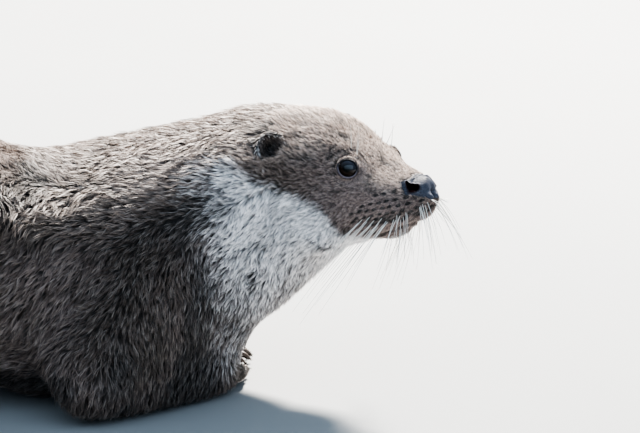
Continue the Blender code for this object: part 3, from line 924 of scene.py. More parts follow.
class Skin:
    """The skin's mesh, with the coat's lie, length and markings at each of its points."""

    def __init__(self, solids, head):
        """Builds the surface from the solids, then the skin below it and the coat's measures."""
        self.head = head
        self.solids = solids
        surface = refined(flesh_surface(solids), head)
        self.surface, self.triangles = arrays_of(surface)
        drop(surface)
        self.net = Net(self.triangles, len(self.surface))
        self.labels = solids.nearest(self.surface)
        self.eyes = [Eye(sign) for sign, _ in SIDES]
        self.ears = [Ear(side, sign, head) for sign, side in SIDES]
        self.sculpt_surface()
        self.outer_normals = normals_of(self.surface, self.triangles)
        self.make_skin()
        beside_pad = fade(self.pad, *BESIDE_PAD)[:, None]
        normals = normals_of(self.points, self.triangles)
        self.normals = unit(normals * (1 - beside_pad) + self.outer_normals * beside_pad)
        self.find_coat()

    def spread(self, number_of):
        """Each node's number over the skin, smoothed where one node meets the next."""
        return self.net.relaxed(self.solids.values(self.labels, number_of), SPREAD_ROUNDS)

    def column(self, index):
        """A column of COATS spread over the skin."""
        return self.spread(lambda name: coat_of(name)[index])

    def mixed(self, body, face):
        """The body's number at each point, turning to the face's own on the face."""
        return body * (1 - self.face) + face * self.face

    def streaks(self):
        """Random values of mean 0, drawn out into narrow streaks along the lie of the coat."""
        rng = np.random.default_rng(STREAK_SEED)
        starts, ends = self.net.start, self.net.end
        steps = unit(self.points[ends] - self.points[starts])
        weights = np.abs(dot(steps, self.lie[starts])) ** STREAK_NARROWNESS + 1e-3
        total = np.bincount(starts, weights, len(self.points))
        values = rng.normal(size=len(self.points))
        for _ in range(STREAK_ROUNDS):
            sums = np.bincount(starts, weights * values[ends], len(self.points))
            values = 0.4 * values + 0.6 * sums / total
            values = values / values.std()
        return np.clip(values / 2, -1, 1)

    def creases(self, points):
        """Depth of the folds round the eyes at each point."""
        local = self.head.local(points)
        return sum(folds(eye, local) for eye in self.eyes)

    def sculpt_surface(self):
        """Cuts the folds round the eyes and the line of the mouth into the outer surface."""
        local = self.head.local(self.surface)
        x, y, z = local.T
        normals = normals_of(self.surface, self.triangles)
        depth = self.creases(self.surface)
        distance, _ = polyline_distance(x, z, MOUTH_LINE)
        inner = np.interp(x, MOUTH_INNER_X, MOUTH_INNER_Y)
        face = fade(x, *MOUTH_REAR_X) * fade(np.abs(y) - inner, 0, 3)
        self.mouth = np.exp(-((distance / MOUTH_WIDTH) ** 2)) * face
        lip = np.exp(-(((distance - LIP_ABOVE) / LIP_WIDTH) ** 2))
        lip = np.where(z > mouth_height(x), lip, 0) * face
        self.crease_shade = np.clip(depth / FULL_FOLD, 0, 1)
        depth = depth + MOUTH_DEPTH * self.mouth - LIP_SWELL * lip
        self.surface = self.surface - normals * depth[:, None]
        self.surface -= self.head.turn((1.0, 0, 0)) * snout_shift(local)[:, None]
        self.surface += self.head.turn(CHIN_SHIFT) * chin_mask(local)[:, None]
        self.sculpt_ears()

    def sculpt_ears(self):
        """Hollows each ear's cup, leaving its rim."""
        self.hollow = np.zeros(len(self.surface))
        for ear in self.ears:
            own = np.isin(self.labels, [self.solids.names.index(ear.name)])
            own = self.net.relaxed(own.astype(float), EAR_ROUNDS) > EAR_LEAST
            cup = ear.cup(self.surface)
            hollow = EAR_CUP_DEPTH * np.sqrt(np.clip(1 - cup**2, 0, 1))
            depth = hollow - EAR_RIM * ear.rim(self.surface)
            self.surface -= ear.axes[2] * (depth * own)[:, None]
            self.hollow = np.maximum(self.hollow, fade(cup, *EAR_HOLLOW) * own)

    def make_skin(self):
        """Sets the skin in by the depth of the coat, and shapes the nostrils and the lids."""
        local = self.head.local(self.surface)
        depth = self.column(DEPTH)
        on_face = fade(local[:, 0], *FACE_START_X) * fade(self.surface[:, 0], *FACE_START_ROW_X)
        depth = depth * (1 - on_face) + FACE_DEPTH * on_face
        self.pad = nose_pad_depth(local)
        depth = depth + PAD_RECESS * fade(self.pad, -0.6, 0.6)
        points = self.surface - self.outer_normals * depth[:, None]
        points[:, 2] = np.maximum(points[:, 2], SKIN_CLEARANCE)
        points += self.head.turn(nostril(local, SKIN_NOSTRIL_WIDER, SKIN_NOSTRIL_DEEPER)[1])
        self.points = self.head.world(self.with_lids(self.head.local(points)))

    def with_lids(self, local):
        """The points of the head's frame with the lids laid closely round each eyeball."""
        self.lid = np.zeros(len(local))
        for eye in self.eyes:
            place = eye.place(local)
            slit = eye.slit(place)
            radius = np.linalg.norm(place, axis=1)
            near = (radius < LID_REACH) & (place[:, 2] > -1)
            hug = fade(slit, LID_END, LID_START)
            wanted = radius * (1 - hug) + (EYE_RADIUS + LID_THICKNESS) * hug
            wanted = np.where(slit < 1, EYE_RADIUS - LID_HOLE, wanted)
            scaled = place * (wanted / np.maximum(radius, 1e-6))[:, None]
            local[near] = eye.back(scaled)[near]
            self.lid[near] = np.maximum(self.lid[near], fade(slit, 1.5, 1.1)[near])
        return local

    def find_coat(self):
        """Works out where the coat grows, how it lies, and how long, wide and dense it is."""
        local = self.head.local(self.points)
        on_head = self.solids.values(self.labels, lambda name: name in HEAD_PARTS)
        self.face = self.net.relaxed(on_head, FACE_ROUNDS) * fade(local[:, 0], *FACE_COAT_X)
        self.find_lie()
        self.length = self.mixed(self.column(LENGTH), FACE_LENGTH)
        self.spacing = self.mixed(self.column(SPACING), FACE_SPACING)
        width = self.spread(lambda name: LEAST_WIDTH + WIDTH_BY_LENGTH * coat_of(name)[LENGTH])
        self.width = self.mixed(width, FACE_WIDTH)
        self.lift = self.mixed(LIFT, FACE_LIFT)
        self.pale = pale_mask(self.points, self.head)
        # The streaks carry the painted shade of the partings.
        self.streak = self.streaks()
        self.dots = follicle_mask(local)
        # Painted sunlight: the coat is made lighter where the skin faces up, as far as each part's
        # row allows.
        facing_up = self.net.relaxed(self.outer_normals[:, 2], UPWARD_ROUNDS)
        self.painted_sunlight = fade(facing_up, *UPWARD) * self.column(SUNLIT_TOP)
        self.length = self.length * (1 + CHEEK_EXTRA * self.pale * on_head)
        self.fit_ears()
        self.bare = fade(self.pad, *BARE_PAD)
        self.spacing = self.spacing * (1 - EDGE_CLOSENESS * fade(self.pad, *CLOSE_PAD))
        self.fit_eyes(local)
        self.bare = np.maximum(self.bare, fade(self.mouth, *BARE_MOUTH))
        self.fit_lips()

    def find_lie(self):
        """Spreads the lie of each part's coat over the skin, with slow and quick turns in it."""
        points, normals = self.points, self.normals
        lie = np.zeros_like(points)
        for label, name in enumerate(self.solids.names):
            chosen = self.labels == label
            lie[chosen] = unit(lie_of(name, points[chosen], normals[chosen], self.head))
        rng = np.random.default_rng(LIE_SEED)
        drift = self.net.relaxed(rng.normal(size=points.shape), DRIFT_ROUNDS)
        wave = self.net.relaxed(rng.normal(size=points.shape), WAVE_ROUNDS)
        drift = LIE_DRIFT * drift / drift.std() + LIE_WAVE * wave / wave.std()
        drift = drift * (1 - FACE_CALM * self.face)[:, None]
        lie = unit(self.net.relaxed(lie, LIE_ROUNDS)) + drift
        lie = self.round_eyes(self.in_ears(lie))
        self.lie = unit(lie - normals * dot(lie, normals)[:, None])

    def fit_ears(self):
        """Paints rim light as a pale, short coat on the upper rear of each ear's rim, and makes the
        coat long and close in its cup.
        """
        for ear in self.ears:
            cup = ear.cup(self.points)
            rim = ear.behind(self.points) * ear.rim(self.points, EAR_RIM_LIGHT_WIDTH)
            inside = fade(cup, *EAR_INSIDE)
            # The pale mask also carries this painted rim light.
            self.pale = np.maximum(self.pale, EAR_RIM_LIGHT * rim)
            self.length = self.length * (1 - EAR_SHORTNESS * rim) * (1 + EAR_EXTRA * inside)
            self.spacing = self.spacing * (1 - EAR_CLOSENESS * fade(cup, *EAR_CLOSE))

    def fit_eyes(self, local):
        """Leaves the lids' edges bare, and makes the coat round each eye short and close."""
        for eye in self.eyes:
            place = eye.place(local)
            slit = eye.slit(place)
            near = place[:, 2] > -2
            self.bare = np.maximum(self.bare, np.where(near, fade(slit, *BARE_SLIT), 0))
            close = np.where(near, fade(slit, *CLOSE_SLIT), 0)
            self.length = self.length * (1 - SLIT_SHORTNESS * close)
            self.spacing = self.spacing * (1 - EDGE_CLOSENESS * close)

    def fit_lips(self):
        """Leaves the whiskers' roots bare in small pits, and shortens the coat between them."""
        pits = fade(self.dots, *BARE_PIT)
        self.bare = np.maximum(self.bare, pits)
        lips = np.clip(self.net.relaxed(fade(self.dots, *LIP_EDGE), LIP_ROUNDS) * 2, 0, 1)
        self.length = self.length * (1 - LIP_SHORTNESS * lips)
        self.spacing = self.spacing * (1 - LIP_CLOSENESS * lips)
        self.points -= self.normals * (PIT_DEPTH * pits)[:, None]

    def in_ears(self, lie):
        """Turns the coat of each ear's rear half down across its cup."""
        across = self.head.turn(EAR_ACROSS)
        for ear in self.ears:
            own = (fade(ear.cup(self.points), 1.3, 1.15) * ear.behind(self.points))[:, None]
            lie = lie * (1 - own) + across * own
        return lie

    def round_eyes(self, lie):
        """Turns the coat aside where it would cross an eye."""
        local = self.head.local(self.points)
        for eye in self.eyes:
            place = eye.place(local)
            radius = np.hypot(place[:, 0], place[:, 1])
            near = fade(radius, *ROUND_EYE) * (place[:, 2] > -4)
            outward = place * (1, 1, 0) / np.maximum(radius, 1e-6)[:, None]
            away = self.head.turn(outward @ eye.axes)
            toward = np.clip(-dot(lie, away), 0, None) * near
            lie = lie + away * toward[:, None] * ROUND_EYE_TURN
        return lie

    def make_object(self):
        """The skin as an object, with the values that its finish reads."""
        obj = mesh_object("skin", self.points, self.triangles)
        count = len(self.points)
        for name, values in (
            ("pale", self.pale),
            ("dots", self.dots),
            ("bare", np.maximum(self.lid, fade(self.pad, -2.4, -0.8))),
            # Painted shade in the creases round the eyes, the mouth's line and the ears' cups.
            ("crease_shade", np.maximum.reduce([self.crease_shade * FOLD_SHADE, self.mouth, self.hollow])),
            ("reach", np.zeros(count)),
            ("shade", np.full(count, SKIN_SHADE)),
            ("face", self.face),
            ("painted_sunlight", self.painted_sunlight),
            ("streak", self.streak),
        ):
            set_values(obj.data, name, values)
        set_vectors(obj.data, "root", self.points * MM)
        return obj


def set_values(mesh, name, values):
    """Gives each point of a mesh a number."""
    attribute = mesh.attributes.new(name, "FLOAT", "POINT")
    attribute.data.foreach_set("value", np.asarray(values, np.float32))


def set_vectors(mesh, name, vectors):
    """Gives each point of a mesh a vector."""
    attribute = mesh.attributes.new(name, "FLOAT_VECTOR", "POINT")
    attribute.data.foreach_set("vector", np.asarray(vectors, np.float32).ravel())


def unwrap(obj):
    """Lays the mesh out flat as the map that the coat's tufts are placed on."""
    obj.data.uv_layers.new(name="OFBake")
    bpy.ops.object.select_all(action="DESELECT")
    obj.select_set(True)
    bpy.context.view_layer.objects.active = obj
    bpy.ops.object.mode_set(mode="EDIT")
    bpy.ops.mesh.select_all(action="SELECT")
    bpy.ops.uv.smart_project(angle_limit=math.radians(66), island_margin=0.002)
    bpy.ops.object.mode_set(mode="OBJECT")


def corner_map(obj):
    """The OFBake map's place at each corner of each triangle."""
    layer = obj.data.uv_layers["OFBake"]
    flat = np.empty(len(obj.data.loops) * 2, np.float32)
    layer.data.foreach_get("uv", flat)
    return flat.reshape(-1, 3, 2)


class Tufts:
    """Clumps of thin blades rooted on the skin, with each clump's tips drawn together."""

    def __init__(self, skin, maps):
        """Places the roots evenly over the skin by the coat's spacing, but not on bare parts."""
        rng = np.random.default_rng(COAT_SEED)
        corners = skin.points[skin.triangles]
        cross = np.cross(corners[:, 1] - corners[:, 0], corners[:, 2] - corners[:, 0])
        area = np.linalg.norm(cross, axis=1) / 2
        spacing = skin.spacing[skin.triangles].mean(axis=1)
        bare = skin.bare[skin.triangles].mean(axis=1)
        expected = area / spacing**2 * (bare < 0.5)
        total = np.cumsum(expected)
        marks = np.arange(0.5, total[-1], 1.0)
        self.triangle = np.searchsorted(total, marks)
        count = len(marks)
        first, second = rng.random((2, count))
        fold = first + second > 1
        first, second = np.where(fold, 1 - first, first), np.where(fold, 1 - second, second)
        self.weights = np.stack([1 - first - second, first, second], axis=1)
        self.skin = skin
        self.map = np.einsum("ik,ikj->ij", self.weights, maps[self.triangle])
        self.label = skin.labels[skin.triangles[self.triangle, 0]]

    def at(self, values):
        """The skin's values at the clumps' roots."""
        corners = values[self.skin.triangles[self.triangle]]
        if corners.ndim == 2:
            return (corners * self.weights).sum(axis=1)
        return np.einsum("ik,ikj->ij", self.weights, corners)

    def axes(self, chosen, rng):
        """Each clump's normal, lie and side, swung a little, and its length and its lift."""
        normal = unit(self.at(self.skin.normals)[chosen])
        lie = self.at(self.skin.lie)[chosen]
        lie = unit(lie - normal * dot(lie, normal)[:, None])
        side = np.cross(normal, lie)
        length = self.at(self.skin.length)[chosen] * rng.uniform(*TUFT_LENGTHS, len(chosen))
        lift = self.at(self.skin.lift)[chosen] * rng.uniform(*TUFT_LIFTS, len(chosen))
        swing = np.radians(rng.normal(0, TUFT_SWING, len(chosen)))[:, None]
        turned = lie * np.cos(swing) + side * np.sin(swing)
        side = side * np.cos(swing) - lie * np.sin(swing)
        return (normal[:, None], turned[:, None], side[:, None]), length, np.radians(lift)

    def blades(self, chosen, each, short, rng):
        """The points of each blade, row by row from the root to the tip."""
        (up, ahead, aside), length, lift = self.axes(chosen, rng)
        many = (len(chosen), each)
        width, spacing = self.at(self.skin.width)[chosen], self.at(self.skin.spacing)[chosen]
        along = rng.uniform(-1, 1, many) * spacing[:, None] * BLADE_SPREAD
        across = rng.uniform(-1, 1, many) * spacing[:, None] * BLADE_SPREAD
        reach = length[:, None] * rng.uniform(*BLADE_LENGTHS, many)
        roll = np.radians(rng.normal(0, BLADE_ROLL, many))[..., None]
        half = (width[:, None] * rng.uniform(*BLADE_WIDTHS, many) / 2)[..., None]
        sink = up * np.minimum(ROOT_SINK, ROOT_SINK_SHARE * length)[:, None, None]
        root = self.at(self.skin.points)[chosen][:, None]
        base = root + along[..., None] * ahead + across[..., None] * aside - sink
        rise = (np.sin(lift)[:, None] * reach)[..., None]
        run = (np.cos(lift)[:, None] * reach)[..., None]
        face = self.at(self.skin.face)[chosen]
        apart = (1 - TUFT_DRAW * (1 - face) - FACE_DRAW * face)[:, None, None]
        bend = rng.normal(0, BLADE_BEND, many)[..., None] * run
        centre = root - sink
        end = centre + (base - centre) * apart
        tip = end + ahead * run + up * rise + aside * bend
        flat = (aside * np.cos(roll) + up * np.sin(roll)) * half
        if short:
            return [base - flat, base + flat, tip]
        hip = base * (1 - HIP_SHARE) + end * HIP_SHARE
        hip = hip + ahead * run * HIP_RUN + up * rise * HIP_RISE
        wide = flat * HIP_WIDTH
        return [base - flat, base + flat, hip - wide, hip + wide, tip]

    def grow(self, chosen, short):
        """Points, triangles and the values that the coat's finish reads, for the chosen clumps."""
        skin, rng = self.skin, np.random.default_rng(COAT_SEED + len(chosen))
        each = STRAIGHT_BLADES if short else BENT_BLADES
        shares, corners, layout = STRAIGHT_BLADE if short else BENT_BLADE
        points = np.stack(self.blades(chosen, each, short, rng), axis=2).reshape(-1, 3)
        size, count = len(shares), len(chosen) * each
        starts = np.arange(count)[:, None, None] * size
        triangles = (starts + np.array(corners)).reshape(-1, 3)

        def spread(values):
            """A clump's value at each point of its blades."""
            return np.repeat(self.at(values)[chosen], each * size, axis=0)

        # Painted shade in the ears' cups and, on the face, in the creases round the eyes.
        crease_shade, dots = spread(skin.hollow) * CUP_SHADE, np.zeros(len(points))
        if short:
            crease_shade = np.maximum(crease_shade, np.clip(skin.creases(points) / 0.7, 0, 0.9))
            dots = follicle_mask(skin.head.local(points))
        points[:, 2] = np.maximum(points[:, 2], FLOOR_CLEARANCE)
        shade = np.repeat(rng.random(len(chosen)), each) * CLUMP_SHADE
        shade = shade + rng.random(count) * (1 - CLUMP_SHADE)
        values = {
            "reach": np.tile(shares, count),
            "shade": np.repeat(shade, size),
            "pale": spread(skin.pale),
            "dots": dots,
            "crease_shade": crease_shade,
            "face": spread(skin.face),
            "painted_sunlight": spread(skin.painted_sunlight),
            "streak": spread(skin.streak),
        }
        places = np.repeat(self.map[chosen], each, axis=0)[:, None] + np.array(layout) * PATCH / 2
        return points, triangles, values, spread(skin.points), places.reshape(-1, 2)


def coat_piece(name, tufts, chosen, short):
    """One piece of the coat, with each tuft's patch on the map."""
    points, triangles, values, roots, places = tufts.grow(chosen, short)
    obj = mesh_object(name, points, triangles)
    for key, numbers in values.items():
        set_values(obj.data, key, numbers)
    set_vectors(obj.data, "root", roots * MM)
    layer = obj.data.uv_layers.new(name="OFBake")
    layer.data.foreach_set("uv", places[triangles.ravel()].astype(np.float32).ravel())
    return obj


def make_coat(skin, skin_object):
    """The coat, in pieces by the part of the body that it grows on."""
    tufts = Tufts(skin, corner_map(skin_object))
    names = np.array(skin.solids.names)[tufts.label]
    pieces = []
    for group, starts in COAT_GROUPS.items():
        short = group in SHORT_COATS
        limit = MOST_TRIANGLES // (STRAIGHT_BLADES if short else BENT_BLADES * 3)
        member = np.array([name.startswith(starts) for name in names])
        chosen = np.flatnonzero(member)
        order = np.argsort(tufts.at(skin.points)[chosen, 0], kind="stable")
        parts = np.array_split(chosen[order], math.ceil(len(chosen) / limit))
        for number, part in enumerate(parts, 1):
            name = "coat_" + group + ("" if len(parts) == 1 else f"_{number}")
            pieces.append(coat_piece(name, tufts, part, short))
    return pieces


def ring_faces(rows, columns, closed=False):
    """Quads from each ring of points to the next, and from the last to the first where closed."""
    k, j = np.meshgrid(np.arange(rows if closed else rows - 1), np.arange(columns), indexing="ij")
    k2, j2 = (k + 1) % rows, (j + 1) % columns
    corners = [k * columns + j, k * columns + j2, k2 * columns + j2, k2 * columns + j]
    return np.stack(corners, axis=-1).reshape(-1, 4)


def tube(path, radii, sides, upright=(0, 0, 1)):
    """Points and quads of a tube along a path, with a radius at each of its points."""
    path, radii = np.asarray(path, float), np.asarray(radii, float)
    along = unit(np.gradient(path, axis=0))
    side = unit(np.cross(along, upright))
    up = np.cross(side, along)
    turns = np.linspace(0, 2 * math.pi, sides, endpoint=False)
    ring = np.cos(turns)[:, None, None] * side + np.sin(turns)[:, None, None] * up
    points = (path + ring * radii[:, None]).transpose(1, 0, 2).reshape(-1, 3)
    return points, ring_faces(len(path), sides)


def bezier(start, control, end, count):
    """Points along a curve that starts towards the control point and ends coming from it."""
    t = np.linspace(0, 1, count)[:, None]
    return (1 - t) ** 2 * start + 2 * t * (1 - t) * control + t**2 * end


def joined(name, parts):
    """One mesh object with closed ends, from several lists of points and faces."""
    points, faces, start = [], [], 0
    for own_points, own_faces in parts:
        points.append(own_points)
        faces.append(own_faces + start)
        start += len(own_points)
    obj = mesh_object(name, np.concatenate(points), np.concatenate(faces))
    close_ends(obj)
    return obj


def eyeball(eye, side, head):
    """A ball with a slight bulge of the cornea, and each point's angle from the way it looks."""
    rows, columns = 40, 64
    polar = np.linspace(0.02, math.pi - 0.02, rows)[:, None]
    turn = np.linspace(0, 2 * math.pi, columns, endpoint=False)[None]
    bulge = CORNEA_BULGE * np.exp(-((polar / CORNEA_ANGLE) ** 2))
    radius = EYE_RADIUS + bulge
    x = radius * np.sin(polar) * np.cos(turn)
    y = radius * np.sin(polar) * np.sin(turn)
    z = radius * np.cos(polar) * np.ones_like(turn)
    place = np.stack([x, y, z], axis=-1).reshape(-1, 3)
    obj = mesh_object("eye_" + side, head.world(eye.back(place)), ring_faces(rows, columns))
    close_ends(obj)
    set_values(obj.data, "from_gaze", np.repeat(polar.ravel(), columns))
    set_values(obj.data, "round_gaze", np.tile(turn.ravel(), rows))
    set_values(obj.data, "height", place[:, 1] / EYE_RADIUS)
    return obj


def close_ends(obj):
    """Fills the open ends of a mesh and turns its faces outward."""
    form = bmesh.new()
    form.from_mesh(obj.data)
    bmesh.ops.holes_fill(form, edges=[edge for edge in form.edges if edge.is_boundary], sides=0)
    bmesh.ops.recalc_face_normals(form, faces=form.faces[:])
    form.to_mesh(obj.data)
    form.free()


def lid_rim(eye, side, head):
    """The bare rim that the lids close round the eyeball."""
    turns = np.linspace(0, 2 * math.pi, 72, endpoint=False)
    corner = np.exp(-(((turns - math.pi) / LID_CORNER_ANGLE) ** 2))
    x = LID_HALF_WIDTH * (LID_RIM_OUT + LID_CORNER_REACH * corner) * np.cos(turns)
    y = LID_HALF_HEIGHT * LID_RIM_OUT * np.sin(turns)
    reach = EYE_RADIUS + LID_RIM_REACH
    z = np.sqrt(reach**2 - np.minimum(x**2 + y**2, reach**2 - 1))
    radii = LID_RIM_RADIUS - LID_RIM_UPPER_LOSS * np.sin(turns)
    radii = radii + LID_RIM_CORNER * corner + LID_RIM_WAVE * np.sin(5 * turns + 1)
    path = head.world(eye.back(np.stack([x, y, z], axis=1)))
    along = unit(np.roll(path, -1, axis=0) - np.roll(path, 1, axis=0))
    out = unit(path - head.world(eye.centre[None]))
    across = np.cross(along, out)
    ring = np.linspace(0, 2 * math.pi, 10, endpoint=False)[None, :, None]
    round_path = np.cos(ring) * out[:, None] + np.sin(ring) * across[:, None]
    points = path[:, None] + radii[:, None, None] * round_path
    faces = ring_faces(len(turns), ring.size, closed=True)
    obj = mesh_object("lids_" + side, points.reshape(-1, 3), faces)
    close_ends(obj)
    set_values(obj.data, "upper", np.repeat(fade(np.sin(turns), -0.3, 0.5), ring.size))
    return obj


def pad_mesh(skin):
    """The muzzle's surface within the nose pad's outline, its border eased onto the outline."""
    inside = skin.pad > PAD_EDGE
    corners = skin.triangles[inside[skin.triangles].any(axis=1)]
    pairs = np.concatenate([corners[:, [0, 1]], corners[:, [1, 2]], corners[:, [2, 0]]])
    pairs = np.concatenate([pairs, pairs[:, ::-1]])
    pairs = pairs[inside[pairs[:, 0]] & ~inside[pairs[:, 1]]]
    first, second = pairs.T
    share = (skin.pad[first] - PAD_EDGE) / (skin.pad[first] - skin.pad[second])
    share = share[:, None]
    crossing = skin.surface[first] * (1 - share) + skin.surface[second] * share
    count = np.bincount(second, minlength=len(skin.surface))
    sums = [np.bincount(second, column, len(skin.surface)) for column in crossing.T]
    points = skin.surface.copy()
    moved = count > 0
    points[moved] = (np.stack(sums, axis=1)[moved]) / count[moved, None]
    used, triangles = np.unique(corners, return_inverse=True)
    triangles = triangles.reshape(-1, 3)
    points = points[used]
    weight = np.where(inside[used], 0.5, 0.0)
    return Net(triangles, len(points)).relaxed(points, 12, weight), triangles


def nose_piece(skin):
    """The nose's leather pad with its nostrils and the cleft below them."""
    points, triangles = pad_mesh(skin)
    normals = normals_of(points, triangles)
    local = skin.head.local(points)
    pad = nose_pad_depth(local)
    reach, shift = nostril(local)
    rim = NOSTRIL_RIM * np.exp(-(((reach - NOSTRIL_RIM_AT) / NOSTRIL_RIM_WIDTH) ** 2))
    rim = rim * fade(pad, *PAD_BORDER)
    cleft = np.exp(-((local[:, 1] / PAD_CLEFT_WIDTH) ** 2)) * fade(local[:, 2], 5, 0)
    edge = PAD_EDGE_DEPTH * fade(pad, 1.3, PAD_EDGE)
    points = points + normals * (PAD_SWELL + rim - PAD_CLEFT_DEPTH * cleft - edge)[:, None]
    points = points + skin.head.turn(shift)
    obj = mesh_object("nose_pad", points, triangles)
    # Masks for the painted shade: deep in the nostrils, and over the pad's top.
    set_values(obj.data, "deep", fade(reach, 2.1, 0.75))
    set_values(obj.data, "upper", fade(local[:, 2], 4, 8))
    modifier = obj.modifiers.new("Depth", "SOLIDIFY")
    modifier.thickness = PAD_THICKNESS * MM
    modifier.offset = -1
    obj = baked(obj)
    obj.data.shade_smooth()
    return obj


def claw_paths():
    """The middle line of each claw, curving down from the end of its toe."""
    up = np.array((0, 0, 1))
    for ball, heading, spread, length, root in PAWS:
        facing = math.radians(heading)
        side = np.array((-math.sin(facing), math.cos(facing), 0))
        for k in range(TOES):
            turn = 2 * k / (TOES - 1) - 1
            angle = math.radians(heading + spread * turn)
            way = np.array((math.cos(angle), math.sin(angle), 0))
            reach = length * (1 - OUTER_TOE_LOSS * turn**2)
            end = np.array(ball) + side * root * turn + way * reach - up * TOE_SINK
            start = end + way * CLAW_START[0] + up * CLAW_START[1]
            bend = start + way * CLAW_LENGTH * CLAW_BEND[0] + up * CLAW_BEND[1]
            tip = end + way * CLAW_LENGTH - up * CLAW_TIP_DROP
            yield bezier(start, bend, tip, CLAW_POINTS)


def make_claws():
    """All the claws, each thinning to its tip and lying just clear of the floor."""
    radii = CLAW_RADIUS * np.sqrt(np.linspace(1, CLAW_TIP_RADIUS, CLAW_POINTS))
    parts = []
    for path in claw_paths():
        path[:, 2] = np.maximum(path[:, 2], radii + CLAW_CLEARANCE)
        parts.append(tube(path, radii, CLAW_SIDES))
    return joined("claws", parts)


def whisker(skin, tree, root, heading, length, droop, rng):
    """A thin hair from the skin, starting along its heading and drooping towards its tip."""
    found, normal, _, _ = tree.find_nearest(skin.head.world(root).tolist())
    start, normal = np.array(found), np.array(normal)
    way = skin.head.turn(heading) + WHISKER_RISE * normal + rng.normal(0, WHISKER_SCATTER, 3)
    way = unit(way)
    end = start + way * length + np.array((0, 0, -droop))
    control = start + way * length * 0.5 + normal * length * WHISKER_ARCH
    path = bezier(start - normal * WHISKER_ROOT, control, end, WHISKER_POINTS)
    radii = np.linspace(WHISKER_RADIUS, WHISKER_RADIUS * WHISKER_TIP, WHISKER_POINTS)
    return tube(path, radii, WHISKER_SIDES, upright=(0.3, 0.2, 1))


def lip_whiskers(rng):
    """Place, heading, length and droop of the whiskers in the lip's rows, with Y outward."""
    for x, z in follicles():
        if z > WHISKER_TOP or rng.random() > WHISKER_SHARE:
            continue
        back = fade(x, *WHISKER_REAR_X)
        heading = np.array(WHISKER_HEADING) + np.array(WHISKER_HEADING_CHANGE) * back
        length = WHISKER_LENGTH + WHISKER_LENGTH_GAIN * back
        length = length * rng.uniform(*WHISKER_LENGTH_SHARE)
        yield (x, WHISKER_OUTSIDE, z), heading, length, length * WHISKER_DROOP


def sparse_hairs(rng):
    """Place, heading, length and droop of the hairs of the lip's front, the chin and the brow."""

    def drawn(values):
        """The values, each range among them replaced by a number drawn from it."""
        return [rng.uniform(*value) if isinstance(value, tuple) else value for value in values]

    for count, place, heading, lengths, droop_share, droop in SPARSE_HAIRS:
        for _ in range(count):
            own_place, own_heading, (length,) = drawn(place), drawn(heading), drawn((lengths,))
            yield own_place, own_heading, length, length * droop_share + droop


def make_whiskers(skin):
    """All the whiskers and the brow hairs of both sides."""
    rng = np.random.default_rng(WHISKER_SEED)
    tree = BVHTree.FromPolygons(skin.points.tolist(), skin.triangles.tolist())
    parts = []
    for sign, _ in SIDES:
        mirror = (1, sign, 1)
        for hairs in (lip_whiskers, sparse_hairs):
            for place, heading, length, droop in hairs(rng):
                place, heading = np.multiply(place, mirror), np.multiply(heading, mirror)
                parts.append(whisker(skin, tree, place, heading, length, droop, rng))
    return joined("whiskers", parts)


# The finishes.


class Tree:
    """A small helper for building a node tree: each call adds a node and links what it is given."""

    def __init__(self, tree):
        """Keeps the tree to add to."""
        self.tree = tree

    def add(self, kind, inputs=(), **settings):
        """A new node with the given settings and inputs."""
        node = self.tree.nodes.new(kind)
        for key, value in settings.items():
            setattr(node, key, value)
        for key, value in dict(inputs).items():
            self.feed(node.inputs[key], value)
        return node

    def feed(self, socket, value):
        """Links a node or an output to a socket, or sets a constant on it."""
        if isinstance(value, bpy.types.NodeSocket):
            self.tree.links.new(value, socket)
        elif isinstance(value, bpy.types.Node):
            self.tree.links.new(value.outputs[0], socket)
        elif isinstance(value, tuple) and len(value) == 3 and len(socket.default_value) == 4:
            socket.default_value = (*value, 1)
        else:
            socket.default_value = value

    def value(self, name):
        """The mesh's own number of that name."""
        return self.add("ShaderNodeAttribute", attribute_name=name).outputs["Fac"]

    def vector(self, name):
        """The mesh's own vector of that name."""
        return self.add("ShaderNodeAttribute", attribute_name=name).outputs["Vector"]

    def place(self):
        """The place in the object's own frame."""
        return self.add("ShaderNodeTexCoord").outputs["Object"]

    def math(self, operation, *values):
        """The result of a sum, product or power of the values."""
        return self.add("ShaderNodeMath", dict(enumerate(values)), operation=operation).outputs[0]

    def range(self, value, low, high, to_low=0.0, to_high=1.0):
        """The value carried from one range to another, and held at its ends."""
        sockets = ("Value", "From Min", "From Max", "To Min", "To Max")
        inputs = zip(sockets, (value, low, high, to_low, to_high))
        return self.add("ShaderNodeMapRange", inputs).outputs[0]

    def mix(self, share, first, second, blend="MIX"):
        """The first colour with a share of the second."""
        node = self.add("ShaderNodeMix", data_type="RGBA", blend_type=blend)
        self.feed(node.inputs["Factor"], share)
        self.feed(node.inputs[6], first)
        self.feed(node.inputs[7], second)
        return node.outputs[2]

    def noise(self, where, scale, detail=3.0, roughness=0.5):
        """Smooth random values over space."""
        inputs = {"Vector": where, "Scale": scale, "Detail": detail, "Roughness": roughness}
        return self.add("ShaderNodeTexNoise", inputs).outputs[0]

    def bump(self, height, strength, distance, invert=False):
        """A normal roughened by a height."""
        inputs = {"Strength": strength, "Distance": distance, "Height": height}
        return self.add("ShaderNodeBump", inputs, invert=invert)


def colour_group(name, colours):
    """A shader node group from colours to one colour, and a helper for filling it."""
    tree = bpy.data.node_groups.new(name, "ShaderNodeTree")
    for key, colour in colours.items():
        socket = tree.interface.new_socket(key, in_out="INPUT", socket_type="NodeSocketColor")
        socket.default_value = (*colour, 1)
    tree.interface.new_socket("Color", in_out="OUTPUT", socket_type="NodeSocketColor")
    maker = Tree(tree)
    start = maker.add("NodeGroupInput")
    end = maker.add("NodeGroupOutput")
    return tree, maker, start.outputs, end.inputs["Color"]


def material(name, **values):
    """A material with a Principled shader, its plain values set on the shader's own sockets."""
    made = bpy.data.materials.new(name)
    made.use_nodes = True
    shader = made.node_tree.nodes["Principled BSDF"]
    maker = Tree(made.node_tree)
    for key, value in values.items():
        maker.feed(shader.inputs[key.replace("_", " ")], value)
    return made, maker, shader.inputs


